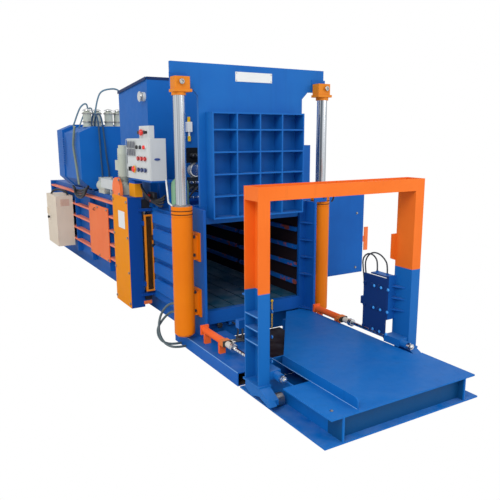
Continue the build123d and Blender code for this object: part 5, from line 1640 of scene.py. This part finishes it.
@dataclass(frozen=True)
class NeedleUnit:
    """End flag and bolts of the needle housing."""

    flag: Box = ((2.34, 1.0, 0.48), (2.41, 1.01, 0.8))
    stalk: Box = ((2.3195, 1.0, 0.6), (2.35, 1.01, 0.68))
    bolt: Turned = Turned(HEX_BOLT, Axis.Y, -1, 6)
    bolt_x: tuple[float, ...] = (0.75, 1.2, 1.7, 2.2)
    bolt_y: float = 0.9995
    bolt_z: tuple[float, ...] = (0.26, 1.0)

    def build(self) -> None:
        """Make the flag and the bolts on the front face."""
        Shell(block(*self.flag), block(*self.stalk)).piece(
            "needle_flag", PALETTE.coral)
        Shell(self.bolt.at(lattice(self.bolt_x, [self.bolt_y], self.bolt_z))).piece(
            "needle_bolts", PALETTE.steel)


@dataclass(frozen=True)
class TankUnit:
    """Pump caps and bands, arched pipes, roof pipes, side line and slats of the oil tank."""

    pumps: tuple[tuple[float, float], ...] = (
        (-0.07, 3.91), (-0.23, 3.85), (-0.39, 3.91), (-0.55, 3.85))
    cap: Turned = Turned(((0.0, 0.066), (0.008, 0.064), (0.018, 0.05), (0.026, 0.03),
                          (0.03, 0.012)), Axis.Z, 1, 40)
    cap_z: float = 2.3915
    band: Turned = Turned(((0.0, 0.072), (0.0, 0.075), (0.014, 0.075), (0.014, 0.072)),
                          Axis.Z, 1, 40)
    band_z: tuple[float, ...] = (2.225, 2.345)
    big_arch: tuple[Point, ...] = (
        (-0.43, 3.85, 2.25), (-0.421, 3.85, 2.404), (-0.345, 3.85, 2.64), (-0.2, 3.85, 2.71),
        (-0.05, 3.85, 2.69), (0.1, 3.85, 2.5), (0.12, 3.85, 2.2))
    small_arch: tuple[Point, ...] = (
        (-0.7, 4.1, 2.16), (-0.686, 4.1, 2.205), (-0.582, 4.1, 2.441), (-0.489, 4.1, 2.501),
        (-0.465, 4.1, 2.384), (-0.46, 4.1, 2.2))
    third_offset: Point = (0.07, 0.0, -0.06)
    arch_radii: tuple[float, ...] = (0.012, 0.012, 0.01)
    roof_start: tuple[Point, Point] = ((-0.705, 4.3, 1.27), (-0.018, -0.1, 0.0))
    roof_end: tuple[Point, Point] = ((-0.705, 3.42, 1.33), (-0.014, 0.0, -0.02))
    roof_bow: tuple[Point, Point] = ((-0.02, 0.0, -0.07), (0.0, 0.0, -0.02))
    roof_count: int = 4
    roof_radius: float = 0.016
    side_line: tuple[Point, ...] = (
        (-0.8002, 3.62, 2.16), (-0.8002, 3.74, 1.95), (-0.8002, 3.75, 1.85),
        (-0.8002, 3.66, 1.62), (-0.8002, 3.56, 1.34))
    side_radius: float = 0.017
    slat: Box = ((-0.7922, 4.3, 0.0), (-0.7882, 4.62, 0.012))
    slat_z: tuple[float, float, float] = (1.6, 2.02, 0.035)

    def build(self) -> None:
        """Make the pieces on top of the tank, and then those on its side."""
        caps = [(x, y, self.cap_z) for x, y in self.pumps]
        Shell(self.cap.at(caps)).piece("pump_caps", PALETTE.bright_steel)
        bands = [(x, y, z) for x, y in self.pumps for z in self.band_z]
        Shell(self.band.at(bands)).piece("pump_bands", PALETTE.steel)
        third = np.array(self.small_arch) + self.third_offset
        arches = zip((self.big_arch, self.small_arch, third), self.arch_radii)
        Shell(*(swept(smoothed(arch), radius, 12, ALONG_Y) for arch, radius in arches)).piece(
            "pump_pipes", PALETTE.slate)
        pipes = []
        for k in range(self.roof_count):
            start, end, bow = (np.array(first) + k * np.array(step) for first, step in
                               (self.roof_start, self.roof_end, self.roof_bow))
            pipes.append(swept(bowed(start, end, bow), self.roof_radius, 12))
        Shell(*pipes).piece("roof_pipes", PALETTE.black)
        Shell(swept(smoothed(self.side_line), self.side_radius, 12, ALONG_X)).piece(
            "tank_side_line", PALETTE.olive)
        low, high = np.array(self.slat)
        Shell(*(block(low + (0, 0, z), high + (0, 0, z), 0.0015)
                for z in np.arange(*self.slat_z))).piece("tank_slats", PALETTE.tank)


@dataclass(frozen=True)
class SideCovers:
    """Hook and bolts of the side cover; louvre, knob and pipe of the cabinet."""

    cover: float = -0.6775
    hook: tuple[Point, ...] = ((-0.6815, 3.224, 1.03), (-0.7075, 3.224, 1.028),
                               (-0.7095, 3.224, 1.005), (-0.6815, 3.224, 1.0))
    hook_radius: float = 0.005
    bolt: Turned = Turned(HEX_BOLT, Axis.X, -1, 6)
    bolt_y: tuple[float, ...] = (2.7, 3.12, 3.54)
    bolt_z: tuple[float, ...] = (0.37, 1.05)
    slat: Box = ((-0.86, 4.577, 0.0), (-0.72, 4.58, 0.007))
    slat_z: tuple[float, float, float] = (0.93, 1.04, 0.016)
    knob: Turned = Turned(((0.0, 0.016), (0.006, 0.016), (0.008, 0.022), (0.03, 0.022),
                           (0.032, 0.016)), Axis.X, -1, 24)
    knob_place: Point = (-0.945, 5.04, 0.715)
    pipe: tuple[Point, Point, Point] = (
        (-0.88, 5.1, 1.085), (-0.72, 4.66, 1.085), (0.0, 0.0, 0.085))
    pipe_radius: float = 0.016

    def build(self) -> None:
        """Make the small pieces of the side cover and the cabinet."""
        Shell(swept(smoothed(self.hook), self.hook_radius, 10, ALONG_Y)).piece(
            "cover_hook", PALETTE.black)
        Shell(self.bolt.at(lattice([self.cover], self.bolt_y, self.bolt_z))).piece(
            "cover_bolts", PALETTE.steel)
        low, high = np.array(self.slat)
        Shell(*(block(low + (0, 0, z), high + (0, 0, z), 0.001)
                for z in np.arange(*self.slat_z))).piece("cabinet_louvre", PALETTE.salmon)
        Shell(self.knob.at([self.knob_place])).piece(
            "cabinet_knob", PALETTE.black, "cabinet_door")
        Shell(swept(bowed(*self.pipe), self.pipe_radius, 14)).piece(
            "cabinet_pipe", PALETTE.black)


@dataclass(frozen=True)
class Looks:
    """Which finish each CAD node has."""

    coats: tuple[tuple[Finish, tuple[str, ...]], ...] = (
        (PALETTE.gate, ("gate",)),
        (PALETTE.frame, ("gate_frame",)),
        (PALETTE.hopper, ("feed_hopper",)),
        (PALETTE.deck, ("deck_plate",)),
        (PALETTE.platform, ("platform_frame",)),
        (PALETTE.blue, ("base_frame", "chamber_roof", "rear_roof", "needle_housing",
                        "press_cylinder")),
        (PALETTE.rails, ("chamber_wall_left", "chamber_wall_right")),
        (PALETTE.beam, ("side_beams",)),
        (PALETTE.chamber, ("chamber_floor", "ram_head")),
        (PALETTE.portal, ("puller_frame",)),
        (PALETTE.plates, ("bale_plates",)),
        (PALETTE.puller, ("puller_cylinders",)),
        (PALETTE.amber, ("lift_cylinders",)),
        (PALETTE.bracket, ("gate_brackets",)),
        (PALETTE.coral, ("side_cover", "chain_guard")),
        (PALETTE.housing, ("tie_housing",)),
        (PALETTE.guard, ("mesh_guard",)),
        (PALETTE.feeder, ("wire_feeder",)),
        (PALETTE.valves, ("valve_group",)),
        (PALETTE.chrome, ("lift_rods", "press_rod", "puller_rods")),
        (PALETTE.steel, ("twister_shaft", "needle_carriage", "puller_wheels")),
        (PALETTE.tank, ("oil_tank",)),
        (PALETTE.motor, ("tie_motor", "pump_units")),
        (PALETTE.pale, ("junction_box", "control_box", "control_door", "hopper_sensor")),
        (PALETTE.beige, ("cabinet", "cabinet_door")),
        (PALETTE.black, ("twister_bearings", "selector_switch")),
        (PALETTE.red, ("stop_main", "stop_top", "button_1", "button_2", "button_3")),
        (PALETTE.cobalt, ("button_4", "button_5", "button_6")),
    )

    def build(self, frame: dict) -> None:
        """Give each node named in the list of coats its finish.
        """
        for finish, nodes in self.coats:
            for name in nodes:
                mesh = frame["nodes"][name].data
                mesh.materials.clear()
                mesh.materials.append(finish.material())
                log.info("%s: %s", name, finish.name)


def main() -> None:
    """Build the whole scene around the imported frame."""
    logging.basicConfig(level=logging.INFO, format="%(message)s")
    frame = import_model()
    Studio().build()
    for hose in HOSES:
        hose.build()
    Looks().build(frame)
    for unit in (LiftUnit(), GateTrim(), HopperTrim(), ValveGroup(), ControlBox(), TieUnit(),
                 Platform(), Portal(), PullerCylinders(), BalePlates(), NeedleUnit(),
                 TankUnit(), SideCovers()):
        unit.build()


if __name__ == "__main__":
    main()
